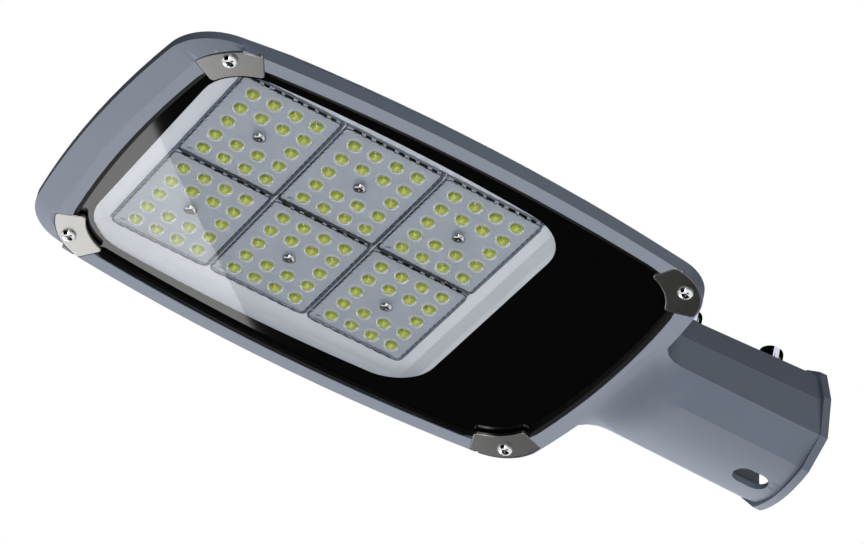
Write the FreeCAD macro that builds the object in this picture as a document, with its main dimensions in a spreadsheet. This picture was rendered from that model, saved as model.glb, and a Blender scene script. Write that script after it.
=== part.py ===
import FreeCAD, Part
import math
import os
import re
import Sketcher

# A cast street light head that slips on a horizontal pole end.
# Millimetres, +Z up. The origin is the centre of the spigot's mouth, on the axis of its bore.
# +X leaves the mouth, so the whole lamp lies at -X, and the glass faces down.

SIZES = {
    # Plan of the head, from its rear edge at the spigot to its nose
    "spigot_length": 100.0,
    "head_length": 309.5,
    "head_width": 219.4,
    "widest_from_rear": 148.0,
    "side_arc_r": 900.0,
    "front_arc_r": 625.0,
    "rear_arc_r": 560.0,
    "front_corner_r": 31.0,
    "rear_corner_r": 27.0,
    # Rim round the glass and the recess behind it
    "rim_drop": 17.5,
    "band_height": 7.2,
    "rim_side": 8.6,
    "rim_front": 19.7,
    "rim_rear": 9.4,
    "opening_front_r": 32.0,
    "opening_rear_r": 36.0,
    "ledge_width": 5.0,
    "bezel_width": 12.5,
    "bezel_drop": 2.7,
    "bezel_side": 5.0,
    "bezel_length": 32.0,
    # Back of the head
    "crown_height": 34.0,
    "crown_half": 36.0,
    "nose_run": 170.0,
    "arch_r": 155.0,
    "nose_arch_r": 411.0,
    "tail_slope": 0.36,
    "shell_wall": 3.5,
    "corner_share": 0.6,
    "floor_thickness": 6.0,
    "fin_count": 13.0,
    "fin_pitch": 12.6,
    "fin_thickness": 2.6,
    "fin_height": 23.0,
    "fin_nose_r": 120.0,
    "fin_nose_length": 60.0,
    # Driver bay behind the printed part of the glass
    "bay_length": 80.0,
    "bay_wall": 4.0,
    "roof_rear_space": 5.2,
    "roof_side_space": 2.5,
    "roof_taper": 0.1,
    "roof_corner": 12.0,
    "entry_half_width": 20.0,
    "entry_height": 26.0,
    "entry_depth": 24.0,
    "end_wall": 5.0,
    # Spigot, an eight-sided casting round the bore for a 60 mm pole end. It tapers to the neck by the falls.
    "bore_r": 30.5,
    "bore_depth": 83.0,
    "stop_width": 8.0,
    "gland_space": 12.0,
    "ridge_half": 9.0,
    "ridge_rise": 8.0,
    "ridge_fall": 4.0,
    "shoulder_in": 7.0,
    "shoulder_drop": 1.5,
    "shoulder_spread": 1.5,
    "shoulder_fall": 6.0,
    "flank_high_wall": 1.8,
    "flank_high_z": 8.0,
    "flank_high_fall": 3.5,
    "flank_low_wall": 6.5,
    "flank_low_fall": 1.0,
    "flank_low_z": 17.3,
    "keel_in": 9.5,
    "keel_rise": 1.5,
    "keel_wall": 3.1,
    "flange_length": 4.5,
    "flange_proud": 2.4,
    "flange_keel_proud": 2.0,
    "flange_low_share": 0.2,
    "flange_high_share": 0.5,
    # Neck that joins the spigot to the head: a concave fillet on the sides, a fairing below
    "neck_fillet_r": 15.0,
    "neck_setback": 3.5,
    "ridge_flare": 0.5,
    "shoulder_flare": 0.6,
    "keel_spread": 0.4,
    "fairing_ahead": 8.0,
    "fairing_behind": 18.0,
    "fairing_lift": 0.3,
    "least_sag": 0.05,
    "slot_length": 20.0,
    "slot_width": 13.0,
    "slot_from_mouth": 20.6,
    # Clamp bolts on top of the spigot
    "bolt_r": 4.0,
    "bolt_head_r": 6.5,
    "bolt_head_height": 8.0,
    "bolt_socket_r": 3.4,
    "bolt_socket_depth": 4.5,
    "bolt_tip_gap": 0.5,
    "bolt_from_mouth": 20.7,
    "bolt_spacing": 50.2,
    "boss_r": 7.5,
    "boss_height": 3.5,
    # Glass, its gasket and the four corner clips
    "glass_thickness": 4.0,
    "gasket_lip": 1.2,
    "gasket_lip_width": 1.2,
    "gasket_side": 1.0,
    "seat_gap": 0.2,
    "clip_thickness": 2.0,
    "clip_gap": 0.3,
    "clip_corner_r": 2.0,
    "clip_inner_half": 13.4,
    "clip_inner_u": 14.2,
    "clip_inner_arc_r": 30.0,
    "front_clip_half": 17.5,
    "front_clip_u": 0.8,
    "front_clip_arc_r": 35.0,
    "rear_clip_half": 19.2,
    "rear_clip_u": 1.1,
    "rear_clip_arc_r": 26.6,
    "front_screw_inset": 30.1,
    "rear_screw_inset": 19.2,
    "screw_side_inset": 20.9,
    # Light engine, three modules along the head and two across, held clear of the head's edges and the bay
    "engine_front": 43.55,
    "engine_rear": 12.05,
    "engine_side": 35.2,
    "module_gap": 1.3,
    "module_corner_r": 3.0,
    "lens_skirt": 1.0,
    "lens_thickness": 1.2,
    "dome_height": 3.0,
    "dome_r": 4.6,
    "dome_top_r": 2.6,
    "dome_clearance": 0.4,
    "led_margin_x": 10.0,
    "led_margin_y": 10.1,
    "led_size": 5.0,
    "led_height": 0.7,
    "led_gap": 0.3,
    "board_thickness": 1.6,
    "board_gap": 0.3,
    "tray_thickness": 1.0,
    "tray_gap": 0.5,
    "groove_width": 5.0,
    "groove_depth": 3.6,
    "groove_reach": 60.0,
    # Driver, terminal block, surge protector and their leads
    "driver_inset": 53.7,
    "driver_width": 52.0,
    "driver_height": 22.0,
    "driver_corner_r": 3.0,
    "driver_glass_gap": 2.8,
    "driver_from_rear": 49.0,
    "ear_length": 9.0,
    "ear_thickness": 3.0,
    "block_length": 32.0,
    "block_width": 14.0,
    "block_height": 12.0,
    "block_inset": 36.2,
    "block_from_rear": 60.0,
    "surge_length": 34.0,
    "well_width": 5.0,
    "well_depth": 4.3,
    "lead_r": 1.5,
    "lead_thickness": 2.6,
    "lead_width": 5.0,
    "lead_bend_r": 8.0,
    "lead_run": 9.0,
    # Clip screws
    "clip_screw_r": 2.0,
    "clip_screw_head_r": 4.0,
    "clip_screw_head_height": 2.8,
    "clip_screw_length": 10.0,
    "thread_gap": 0.1,
    # Cable gland between the bore and the driver bay
    "gland_r": 8.0,
    "gland_cap_r": 11.0,
    "gland_cap_length": 11.0,
    "gland_hole_r": 4.0,
    "gland_nut_r": 10.5,
    "gland_nut_length": 5.0,
    "gland_rise": 8.0,
    # How far a cutting tool runs past what it cuts
    "overrun": 1.0,
}

V = FreeCAD.Vector
doc = FreeCAD.newDocument("StreetLightHead")
sheet = doc.addObject("Spreadsheet::Sheet", "Sizes")
for row, (alias, size) in enumerate(SIZES.items(), start=1):
    sheet.set(f"A{row}", alias)
    sheet.set(f"B{row}", str(size))
    sheet.setAlias(f"B{row}", alias)
doc.recompute()

nodes = {}

# Levels and places that several pieces share, as sums of names in the sheet
HEAD_REAR = "-spigot_length"
HEAD_FRONT = "-spigot_length - head_length"
RIM = "-rim_drop"
BAND_TOP = "-rim_drop + band_height"
CLIP_BACK = "-rim_drop + clip_thickness"
GLASS_FACE = CLIP_BACK + " + gasket_lip"
GLASS_BACK = GLASS_FACE + " + glass_thickness"
LEDGE = GLASS_BACK + " + gasket_lip"
DOME_TIP = GLASS_BACK + " + dome_clearance"
LENS_FACE = DOME_TIP + " + dome_height"
LENS_BACK = LENS_FACE + " + lens_thickness"
LED_FACE = LENS_BACK + " + led_gap"
BOARD_FACE = LED_FACE + " + led_height"
FLOOR = BOARD_FACE + " + board_thickness"
SLAB_TOP = FLOOR + " + floor_thickness"
BAY_FRONT = HEAD_REAR + " - bay_length"
PITCH_X = "(head_length - bay_length - bay_wall/2 - engine_front - engine_rear)/3"
PITCH_Y = "(head_width/2 - engine_side)"
ENGINE_X = f"{HEAD_FRONT} + engine_front + 1.5*{PITCH_X}"
DRIVER_X = HEAD_REAR + " - driver_from_rear"
DRIVER_LENGTH = "(head_width - 2*driver_inset)"
DRIVER_FACE = GLASS_BACK + " + driver_glass_gap"
DRIVER_BACK = DRIVER_FACE + " + driver_height"
BLOCK_X = HEAD_REAR + " - block_from_rear"
BLOCK_SIDE = "(head_width/2 - block_inset)"
BLOCK_BACK = DRIVER_FACE + " + block_height"
GROOVE_END = ENGINE_X + " - groove_reach"
GLAND_SEAT = "-bore_depth - gland_space"
TAPER_LENGTH = "(spigot_length - fairing_behind)"
BOLTS = []
for along in ("bolt_from_mouth", "(bolt_from_mouth + bolt_spacing)"):
    # Place of a clamp bolt and the level of its boss, which follows the ridge's taper
    BOLTS.append(("-" + along, f"bore_r + ridge_rise - ridge_fall*{along}/{TAPER_LENGTH} + boss_height"))

# Kind of clip, place of its screw along the head, side and turn about Z
CLIPS = [
    ("front", HEAD_FRONT + " + front_screw_inset", -1, 225),
    ("front", HEAD_FRONT + " + front_screw_inset", 1, 135),
    ("rear", HEAD_REAR + " - rear_screw_inset", -1, 315),
    ("rear", HEAD_REAR + " - rear_screw_inset", 1, 45),
]

# Insets of the nested outlines from the head's outer edge: front, side and rear
OPENING = ("rim_front", "rim_side", "rim_rear")


def inset(extra):
    return tuple(f"{name} + {extra}" for name in OPENING)


GASKET_OUT = inset("seat_gap")
GLASS_OUT = inset("seat_gap + gasket_side")
GASKET_IN = inset("seat_gap + gasket_side + gasket_lip_width")
POCKET = inset("ledge_width + seat_gap + gasket_side")
TRAY_OUT = inset("ledge_width + seat_gap + gasket_side + tray_gap")


def formula(text):
    return re.sub(r"[a-z][a-z_]+", lambda found: "Sizes." + found.group(0), text)


def number(text):
    # Value of a formula made of sheet names, plain numbers, + - * / and brackets
    tokens = re.findall(r"[a-z_]+|[0-9.]+|[-+*/()]", text)

    def factor():
        token = tokens.pop(0)
        if token == "-":
            return -factor()
        if token == "(":
            inside = total()
            tokens.pop(0)
            return inside
        return float(sheet.get(token)) if token[0].isalpha() else float(token)

    def product():
        value = factor()
        while tokens and tokens[0] in "*/":
            times = tokens.pop(0) == "*"
            value = value * factor() if times else value / factor()
        return value

    def total():
        value = product()
        while tokens and tokens[0] in "+-":
            plus = tokens.pop(0) == "+"
            value = value + product() if plus else value - product()
        return value

    return total()


def bind(target, **properties):
    for name, text in properties.items():
        target.setExpression(name.replace("__", "."), formula(text))


def place(target, x="0", y="0", z="0"):
    bind(target, Placement__Base__x=x, Placement__Base__y=y, Placement__Base__z=z)
    return target


def box(label, size, corner):
    made = doc.addObject("Part::Box", "Box")
    made.Label = label
    bind(made, Length=size[0], Width=size[1], Height=size[2])
    return place(made, *corner)


def cylinder(label, radius, height, at, axis=V(0, 0, 1)):
    made = doc.addObject("Part::Cylinder", "Cylinder")
    made.Label = label
    made.Placement.Rotation = FreeCAD.Rotation(V(0, 0, 1), axis)
    bind(made, Radius=radius, Height=height)
    return place(made, *at)


def hexagon(label, radius, height, at, axis=V(0, 0, 1)):
    made = doc.addObject("Part::Prism", "Prism")
    made.Label = label
    made.Polygon = 6
    made.Placement.Rotation = FreeCAD.Rotation(V(0, 0, 1), axis)
    bind(made, Circumradius=radius, Height=height)
    return place(made, *at)


def join(kind, label, shapes):
    made = doc.addObject("Part::Multi" + kind, kind)
    made.Label = label
    made.Shapes = shapes
    return made


def fuse(label, *shapes):
    return join("Fuse", label, list(shapes))


def common(label, *shapes):
    return join("Common", label, list(shapes))


def cut(label, base, *tools):
    made = doc.addObject("Part::Cut", "Cut")
    made.Label = label
    made.Base = base
    made.Tool = tools[0] if len(tools) == 1 else fuse(label + " tools", *tools)
    return made


def feature(label, shape):
    made = doc.addObject("Part::Feature", "Feature")
    made.Label = label
    made.Shape = shape
    return made


def copy_at(label, base, x, y):
    made = doc.addObject("Part::Compound", "Copy")
    made.Label = label
    made.Links = [base]
    return place(made, x, y)


def node(name, made):
    made.Label = name
    nodes[name] = made
    return made


def new_body(label):
    made = doc.addObject("PartDesign::Body", "Body")
    made.Label = label
    return made


def new_sketch(body, role="XY_Plane", level="0"):
    sketch = body.newObject("Sketcher::SketchObject", "Sketch")
    plane = [item for item in body.Origin.OriginFeatures if item.Role == role][0]
    sketch.AttachmentSupport = (plane, [""])
    sketch.MapMode = "FlatFace"
    bind(sketch, AttachmentOffset__Base__z=level)
    return sketch


def limit(sketch, constraint, text):
    index = sketch.addConstraint(constraint)
    sketch.setExpression(f"Constraints[{index}]", formula(text))


def pin(sketch, piece, point, x, y):
    limit(sketch, Sketcher.Constraint("DistanceX", -1, 1, piece, point, number(x)), x)
    limit(sketch, Sketcher.Constraint("DistanceY", -1, 1, piece, point, number(y)), y)


def arc_between(start, end, radius):
    # Arc from start to end that bulges to the right of the way, or to the left if radius is negative
    chord = end - start
    reach = math.sqrt(radius ** 2 - (chord.Length / 2) ** 2)
    left = V(-chord.y, chord.x, 0).normalize()
    centre = (start + end) / 2 + left * math.copysign(reach, radius)
    first, last = (start, end) if radius > 0 else (end, start)
    angles = [math.atan2(p.y - centre.y, p.x - centre.x) for p in (first, last)]
    circle = Part.Circle(centre, V(0, 0, 1), abs(radius))
    return Part.ArcOfCircle(circle, angles[0], angles[1])


def profile(sketch, corners, arcs=()):
    # Closed outline through the corners. arcs has the side, turn and radius of each side that is an arc.
    points = [V(number(x), number(y), 0) for x, y in corners]
    ends = []
    for side, start in enumerate(points):
        end = points[(side + 1) % len(points)]
        arc = [(turn, text) for index, turn, text in arcs if index == side]
        if arc:
            turn, text = arc[0]
            piece = sketch.addGeometry(arc_between(start, end, turn * number(text)))
            limit(sketch, Sketcher.Constraint("Radius", piece, number(text)), text)
            ends.append((piece, 1, 2) if turn > 0 else (piece, 2, 1))
        else:
            piece = sketch.addGeometry(Part.LineSegment(start, end))
            ends.append((piece, 1, 2))
        pin(sketch, piece, ends[-1][1], *corners[side])
    for side, (piece, first, last) in enumerate(ends):
        following = ends[(side + 1) % len(ends)]
        sketch.addConstraint(Sketcher.Constraint("Coincident", piece, last, following[0], following[1]))


def pad(body, sketch, length):
    made = body.newObject("PartDesign::Pad", "Pad")
    made.Profile = sketch
    bind(made, Length=length)
    return made


def round_uprights(body, radius, chosen=lambda x, y: True):
    # Rounds the edges that stand along Z at the chosen places
    doc.recompute()
    base = body.Tip
    names = []
    for index, edge in enumerate(base.Shape.Edges, start=1):
        first, last = edge.Vertexes[0].Point, edge.Vertexes[-1].Point
        upright = abs(first.x - last.x) + abs(first.y - last.y) < 1e-6 < abs(first.z - last.z)
        if upright and chosen(first.x, first.y):
            names.append(f"Edge{index}")
    made = body.newObject("PartDesign::Fillet", "Fillet")
    made.Base = (base, names)
    bind(made, Radius=radius)
    doc.recompute()


# Outline of the head: two long side arcs, a bowed nose and a bowed rear edge


def outline_circles():
    half = number("head_width/2")
    side_x = number(HEAD_REAR + " - widest_from_rear")
    side_r, front_r, rear_r = number("side_arc_r"), number("front_arc_r"), number("rear_arc_r")
    return {
        "left": (V(side_x, half - side_r, 0), side_r),
        "front": (V(number(HEAD_FRONT) + front_r, 0, 0), front_r),
        "right": (V(side_x, side_r - half, 0), side_r),
        "rear": (V(number(HEAD_REAR) - rear_r, 0, 0), rear_r),
    }


def meet(first, second, toward):
    # The place where two circles cross that lies furthest along toward
    (one, one_r), (two, two_r) = first, second
    apart = two - one
    along = (apart.Length ** 2 + one_r ** 2 - two_r ** 2) / (2 * apart.Length)
    across = math.sqrt(one_r ** 2 - along ** 2)
    unit = apart / apart.Length
    side = V(-unit.y, unit.x, 0)
    found = [one + unit * along + side * across, one + unit * along - side * across]
    return max(found, key=lambda point: point.dot(toward))


CORNERS = {
    ("left", "front"): V(-1, 1, 0),
    ("front", "right"): V(-1, -1, 0),
    ("right", "rear"): V(1, -1, 0),
    ("rear", "left"): V(1, 1, 0),
}


def outline_sketch(body, insets, level):
    sketch = new_sketch(body, level=level)
    circles = outline_circles()
    corner = {pair: meet(circles[pair[0]], circles[pair[1]], toward) for pair, toward in CORNERS.items()}
    order = ["left", "front", "right", "rear"]
    for index, name in enumerate(order):
        before, after = order[index - 1], order[(index + 1) % 4]
        centre, radius = circles[name]
        ends = [corner[(before, name)], corner[(name, after)]]
        angles = [math.atan2(p.y - centre.y, p.x - centre.x) for p in ends]
        sketch.addGeometry(Part.ArcOfCircle(Part.Circle(centre, V(0, 0, 1), radius), *angles))
    for index in range(4):
        sketch.addConstraint(Sketcher.Constraint("Coincident", index, 2, (index + 1) % 4, 1))
    centres = [
        (HEAD_REAR + " - widest_from_rear", "head_width/2 - side_arc_r"),
        (HEAD_FRONT + " + front_arc_r", "0"),
        (HEAD_REAR + " - widest_from_rear", "side_arc_r - head_width/2"),
        (HEAD_REAR + " - rear_arc_r", "0"),
    ]
    front, side, rear = insets
    radii = [f"side_arc_r - ({side})", f"front_arc_r - ({front})",
             f"side_arc_r - ({side})", f"rear_arc_r - ({rear})"]
    for index, ((x, y), text) in enumerate(zip(centres, radii)):
        pin(sketch, index, 3, x, y)
        limit(sketch, Sketcher.Constraint("Radius", index, circles[order[index]][1]), text)
    return sketch


def outline_prism(label, insets, level, height, front_r, rear_r):
    body = new_body(label)
    pad(body, outline_sketch(body, insets, level), height)
    middle = number(ENGINE_X)
    round_uprights(body, front_r, lambda x, y: x < middle)
    round_uprights(body, rear_r, lambda x, y: x > middle)
    return body


def outline_wire(front, side, rear, front_r, rear_r, level):
    # The same outline with its corners already rounded, for lofts
    shrink = {"left": side, "front": front, "right": side, "rear": rear}
    circles = {name: (centre, radius - shrink[name])
               for name, (centre, radius) in outline_circles().items()}
    rounds = {}
    for (first, second), toward in CORNERS.items():
        radius = front_r if "front" in (first, second) else rear_r
        inner = [(circles[name][0], circles[name][1] - radius) for name in (first, second)]
        centre = meet(inner[0], inner[1], toward)
        touch = [circles[name][0] + (centre - circles[name][0]).normalize() * circles[name][1]
                 for name in (first, second)]
        top = centre + ((touch[0] + touch[1]) / 2 - centre).normalize() * radius
        rounds[(first, second)] = (touch[0], top, touch[1])
    edges = []
    order = ["left", "front", "right", "rear"]
    for index, name in enumerate(order):
        start = rounds[(order[index - 1], name)][2]
        end = rounds[(name, order[(index + 1) % 4])][0]
        centre, radius = circles[name]
        top = centre + ((start + end) / 2 - centre).normalize() * radius
        edges.append(Part.Arc(start, top, end).toShape())
        edges.append(Part.Arc(*rounds[(name, order[(index + 1) % 4])]).toShape())
    wire = Part.Wire(edges)
    wire.translate(V(0, 0, level))
    return wire


# Housing

# Steps of the back's loft, shares of the roof's height with a ring of points over the driver, and shares
# of the neck's side fillet with a section
BACK_STEPS = 4
ROOF_SHARES = (0.0, 0.3, 0.6, 1.0)
FILLET_STOPS = (0.12, 0.35, 0.65, 1.0)


def arch_inset(run, rise, radius, wall, height):
    # How far in from its foot an arch stands at a height. It climbs rise over run, and wall lies under it.
    chord = math.hypot(run, rise)
    reach = math.sqrt(radius ** 2 - chord ** 2 / 4)
    centre_x = run / 2 + reach * rise / chord
    centre_z = rise / 2 - reach * run / chord
    return centre_x - math.sqrt((radius - wall) ** 2 - (height - centre_z) ** 2)


def dome():
    # The rounded back: an arch across, and a longer one at the nose
    foot = number(BAND_TOP)
    rise = number("crown_height") - foot
    run = number("head_width/2 - crown_half")
    wires = []
    for step in range(BACK_STEPS + 1):
        # Levels lie closer together toward the crown, where the arch flattens
        height = rise * (1 - (1 - step / BACK_STEPS) ** 1.5)
        side = arch_inset(run, rise, number("arch_r"), 0.0, height)
        front = arch_inset(number("nose_run"), rise, number("nose_arch_r"), 0.0, height)
        rear = number("tail_slope") * height
        most = number("corner_share") * (number("head_width/2") - side)
        wires.append(outline_wire(front, side, rear, min(number("front_corner_r"), most),
                                  min(number("rear_corner_r"), most), foot + height))
    return feature("back", Part.makeLoft(wires, True, True))


def flat_sided(rings):
    # A solid with flat sides between rings of points, the first and the last of them closed
    outlines = [rings[0], rings[-1]]
    for low, high in zip(rings, rings[1:]):
        outlines += [[low[i - 1], low[i], high[i], high[i - 1]] for i in range(len(low))]
    faces = [Part.Face(Part.makePolygon(points + points[:1])) for points in outlines]
    solid = Part.Solid(Part.Shell(faces))
    return solid if solid.Volume > 0 else solid.reversed()


def bay_roof():
    # The space under the back over the driver: flat panels that keep the shell's wall or more
    foot = number(BAND_TOP)
    wall = number("shell_wall")
    rise = number("crown_height") - foot
    run = number("head_width/2 - crown_half")
    front = number(BAY_FRONT + " - overrun")
    corner = number("roof_corner")
    rings = []
    for share in ROOF_SHARES:
        height = share * (rise - wall)
        side = number("head_width/2") - arch_inset(run, rise, number("arch_r"), wall, height)
        side -= number("roof_side_space")
        rear = number(HEAD_REAR) - number("tail_slope") * height - wall - number("roof_rear_space")
        turn = rear - corner
        turn_side = side - number("roof_taper") * (turn - front)
        half = [(rear, turn_side - corner), (turn, turn_side), (front, side)]
        ring = half + [(x, -y) for x, y in reversed(half)]
        rings.append([V(x, y, foot + height) for x, y in ring])
    return feature("bay roof", flat_sided(rings))


def fins():
    body = new_body("cooling fins")
    sketch = new_sketch(body, "XZ_Plane", "(fin_count - 1)*fin_pitch/2 - fin_thickness/2")
    nose = HEAD_FRONT + " + bezel_width"
    rear = BAY_FRONT + " - bay_wall/2"
    top = FLOOR + " + fin_height"
    flat = nose + " + fin_nose_length"
    profile(sketch, [(nose, FLOOR), (rear, FLOOR), (rear, top), (flat, top)], [(3, 1, "fin_nose_r")])
    first = pad(body, sketch, "fin_thickness")
    doc.recompute()
    pattern = body.newObject("PartDesign::LinearPattern", "LinearPattern")
    pattern.Originals = [first]
    axis = [item for item in body.Origin.OriginFeatures if item.Role == "Y_Axis"][0]
    pattern.Direction = (axis, [""])
    bind(pattern, Length="(fin_count - 1)*fin_pitch", Occurrences="fin_count")
    body.Tip = pattern
    return body


def half_points(x):
    # Right half of the spigot's section at x, from the ridge down to the keel, and its lowest level
    bore, rim = number("bore_r"), number(RIM)
    start, end = number(HEAD_REAR + " - fairing_ahead"), number(HEAD_REAR + " + fairing_behind")
    way = min(max((x - start) / (end - start), 0.0), 1.0)
    drop = way * way * (3 - 2 * way)
    fillet = number("neck_fillet_r")
    short = min(max(number(HEAD_REAR + " - neck_setback") + fillet - x, 0.0), fillet)
    flare = fillet - math.sqrt(fillet ** 2 - short ** 2)
    back = min(-x / number(TAPER_LENGTH), 1.0)
    ridge = (number("ridge_half") + number("ridge_flare") * flare,
             bore + number("ridge_rise") - back * number("ridge_fall"))
    shoulder_y = bore - number("shoulder_in") + back * number("shoulder_spread")
    shoulder = (shoulder_y + number("shoulder_flare") * flare,
                bore - number("shoulder_drop") - back * number("shoulder_fall"))
    high = (bore + number("flank_high_wall") + flare,
            number("flank_high_z") - back * number("flank_high_fall"))
    low = (bore + number("flank_low_wall") - back * number("flank_low_fall") + flare,
           -number("flank_low_z"))
    keel_y = (bore - number("keel_in")) * (1 + (1 - drop) * number("keel_spread"))
    level = rim + number("fairing_lift")
    keel_z = level + drop * (number("keel_rise") - bore - level)
    sag = max(drop * number("keel_wall + keel_rise"), number("least_sag"))
    return [ridge, shoulder, high, low, (keel_y, keel_z)], keel_z - sag


def section(x, proud=0.0, keel_proud=0.0):
    # The closed section at x, grown outward by proud and at its keel by keel_proud
    half, base = half_points(x)
    low_share, high_share = number("flange_low_share"), number("flange_high_share")
    grown = []
    for y, z in half[:-1]:
        if z < 0:
            grown.append((y + proud * low_share, z))
        else:
            grown.append((y + proud, z + proud * high_share))
    y, z = half[-1]
    grown.append((y + keel_proud, z - keel_proud))
    right = [V(x, y, z) for y, z in grown]
    left = [V(x, -y, z) for y, z in reversed(grown)]
    corners = left + right
    edges = [Part.LineSegment(corners[i], corners[i + 1]).toShape() for i in range(len(corners) - 1)]
    edges.append(Part.Arc(corners[-1], V(x, 0, base - keel_proud), corners[0]).toShape())
    return Part.Wire(edges)


def neck():
    # Fairing from the flat rim down into the spigot, with a concave fillet to the head
    fillet = number("neck_fillet_r")
    first = number(HEAD_REAR + " - fairing_ahead")
    turn = number(HEAD_REAR + " - neck_setback")
    stops = [first - fillet, first, turn]
    stops += [turn + fillet * share for share in FILLET_STOPS]
    stops.append(number(HEAD_REAR + " + fairing_behind"))
    return feature("neck", Part.makeLoft([section(x) for x in stops], True, True))


def spigot():
    start = number(HEAD_REAR + " + fairing_behind")
    return feature("spigot", Part.makeLoft([section(start), section(0)], True, True))


def flange():
    proud = number("flange_proud")
    keel = number("flange_keel_proud")
    ends = [section(-number("flange_length"), proud, keel), section(0, proud, keel)]
    return feature("mouth flange", Part.makeLoft(ends, True, True))


def keel_slot():
    # Slot with round ends through the keel
    depth = ("bore_r", "-1.5*bore_r")
    middle = "-slot_from_mouth"
    reach = "slot_length/2 - slot_width/2"
    straight = box("slot middle", ("slot_length - slot_width", "slot_width", depth[0]),
                   (f"{middle} - ({reach})", "-slot_width/2", depth[1]))
    ends = [cylinder("slot end", "slot_width/2", depth[0], (f"{middle} {sign} ({reach})", "0", depth[1]))
            for sign in "+-"]
    return fuse("keel slot", straight, *ends)


def bezel_cut():
    # The nose bezel slopes back from a line parallel to its edge, and stops short on the sides
    width, drop, side = number("bezel_width"), number("bezel_drop"), number("bezel_side")
    front_r, rear_r = number("front_corner_r"), number("rear_corner_r")
    inner = outline_wire(width, side, side, front_r - side, rear_r - side, number(RIM))
    outer = outline_wire(0, 0, 0, front_r, rear_r, number(RIM) + drop)
    kept = Part.makeLoft([inner, outer], True, True)
    past = number("overrun")
    half = number("head_width/2 + overrun")
    block = Part.makeBox(number("bezel_length") + past, 2 * half, drop + past,
                         V(number(HEAD_FRONT) - past, -half, number(RIM) - past))
    return feature("nose bezel relief", block.cut(kept))


def clip_side(side):
    return "-head_width/2 + screw_side_inset" if side < 0 else "head_width/2 - screw_side_inset"


def clip_shape(label, end, extra):
    # A clip in its own frame: the screw at the origin and +X out to the head's corner
    body = new_body(label)
    sketch = new_sketch(body)
    sign = "" if end == "front" else "-"
    out = f"{sign}{end}_clip_u + {extra}"
    half = f"{end}_clip_half + {extra}"
    back = f"-clip_inner_u - {extra}"
    narrow = f"clip_inner_half + {extra}"
    corners = [(out, "-" + half.replace("+", "-")), (out, half), (back, narrow),
               (back, "-" + narrow.replace("+", "-"))]
    profile(sketch, corners, [(0, 1, f"{end}_clip_arc_r"), (2, -1, "clip_inner_arc_r")])
    pad(body, sketch, "clip_thickness")
    round_uprights(body, "clip_corner_r")
    return body


def place_clip(made, x, side, turn):
    made.Placement.Rotation = FreeCAD.Rotation(V(0, 0, 1), turn)
    return place(made, x, clip_side(side), RIM)


def driver_bosses():
    bosses = []
    for side in (-1, 1):
        y = f"{DRIVER_LENGTH}/2 + ear_length/2" if side > 0 else f"-{DRIVER_LENGTH}/2 - ear_length/2"
        bosses.append(cylinder("driver boss", "ear_length/2", "crown_height", (DRIVER_X, y, DRIVER_BACK)))
    return bosses


def block_pads():
    pads = []
    for length, sign in (("block_length", ""), ("surge_length", "-")):
        y = f"{sign}{BLOCK_SIDE} - block_width/2"
        pads.append(box("mounting pad", (length, "block_width", "crown_height"),
                        (f"{BLOCK_X} - {length}/2", y, BLOCK_BACK)))
    return pads


def driver_bay(label):
    tall = outline_prism("bay outline", POCKET, FLOOR, "crown_height", "opening_front_r", "opening_rear_r")
    behind = box("bay reach", ("bay_length", "head_width", "3*crown_height"),
                 (BAY_FRONT, "-head_width/2", "-crown_height"))
    space = common("bay space", tall, behind, bay_roof())
    clear = cut("bay", space, *driver_bosses(), *block_pads())
    low = common("bay mouth", outline_prism("bay mouth outline", POCKET, LEDGE, "crown_height/2",
                                            "opening_front_r", "opening_rear_r"),
                 box("bay mouth reach", ("bay_length", "head_width", FLOOR + " + rim_drop + overrun"),
                     (BAY_FRONT, "-head_width/2", RIM)))
    entry = box("cable entry", ("entry_depth", "2*entry_half_width", "entry_height"),
                (GLAND_SEAT + " - end_wall - entry_depth", "-entry_half_width", FLOOR))
    return fuse(label, clear, low, entry)


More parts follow.
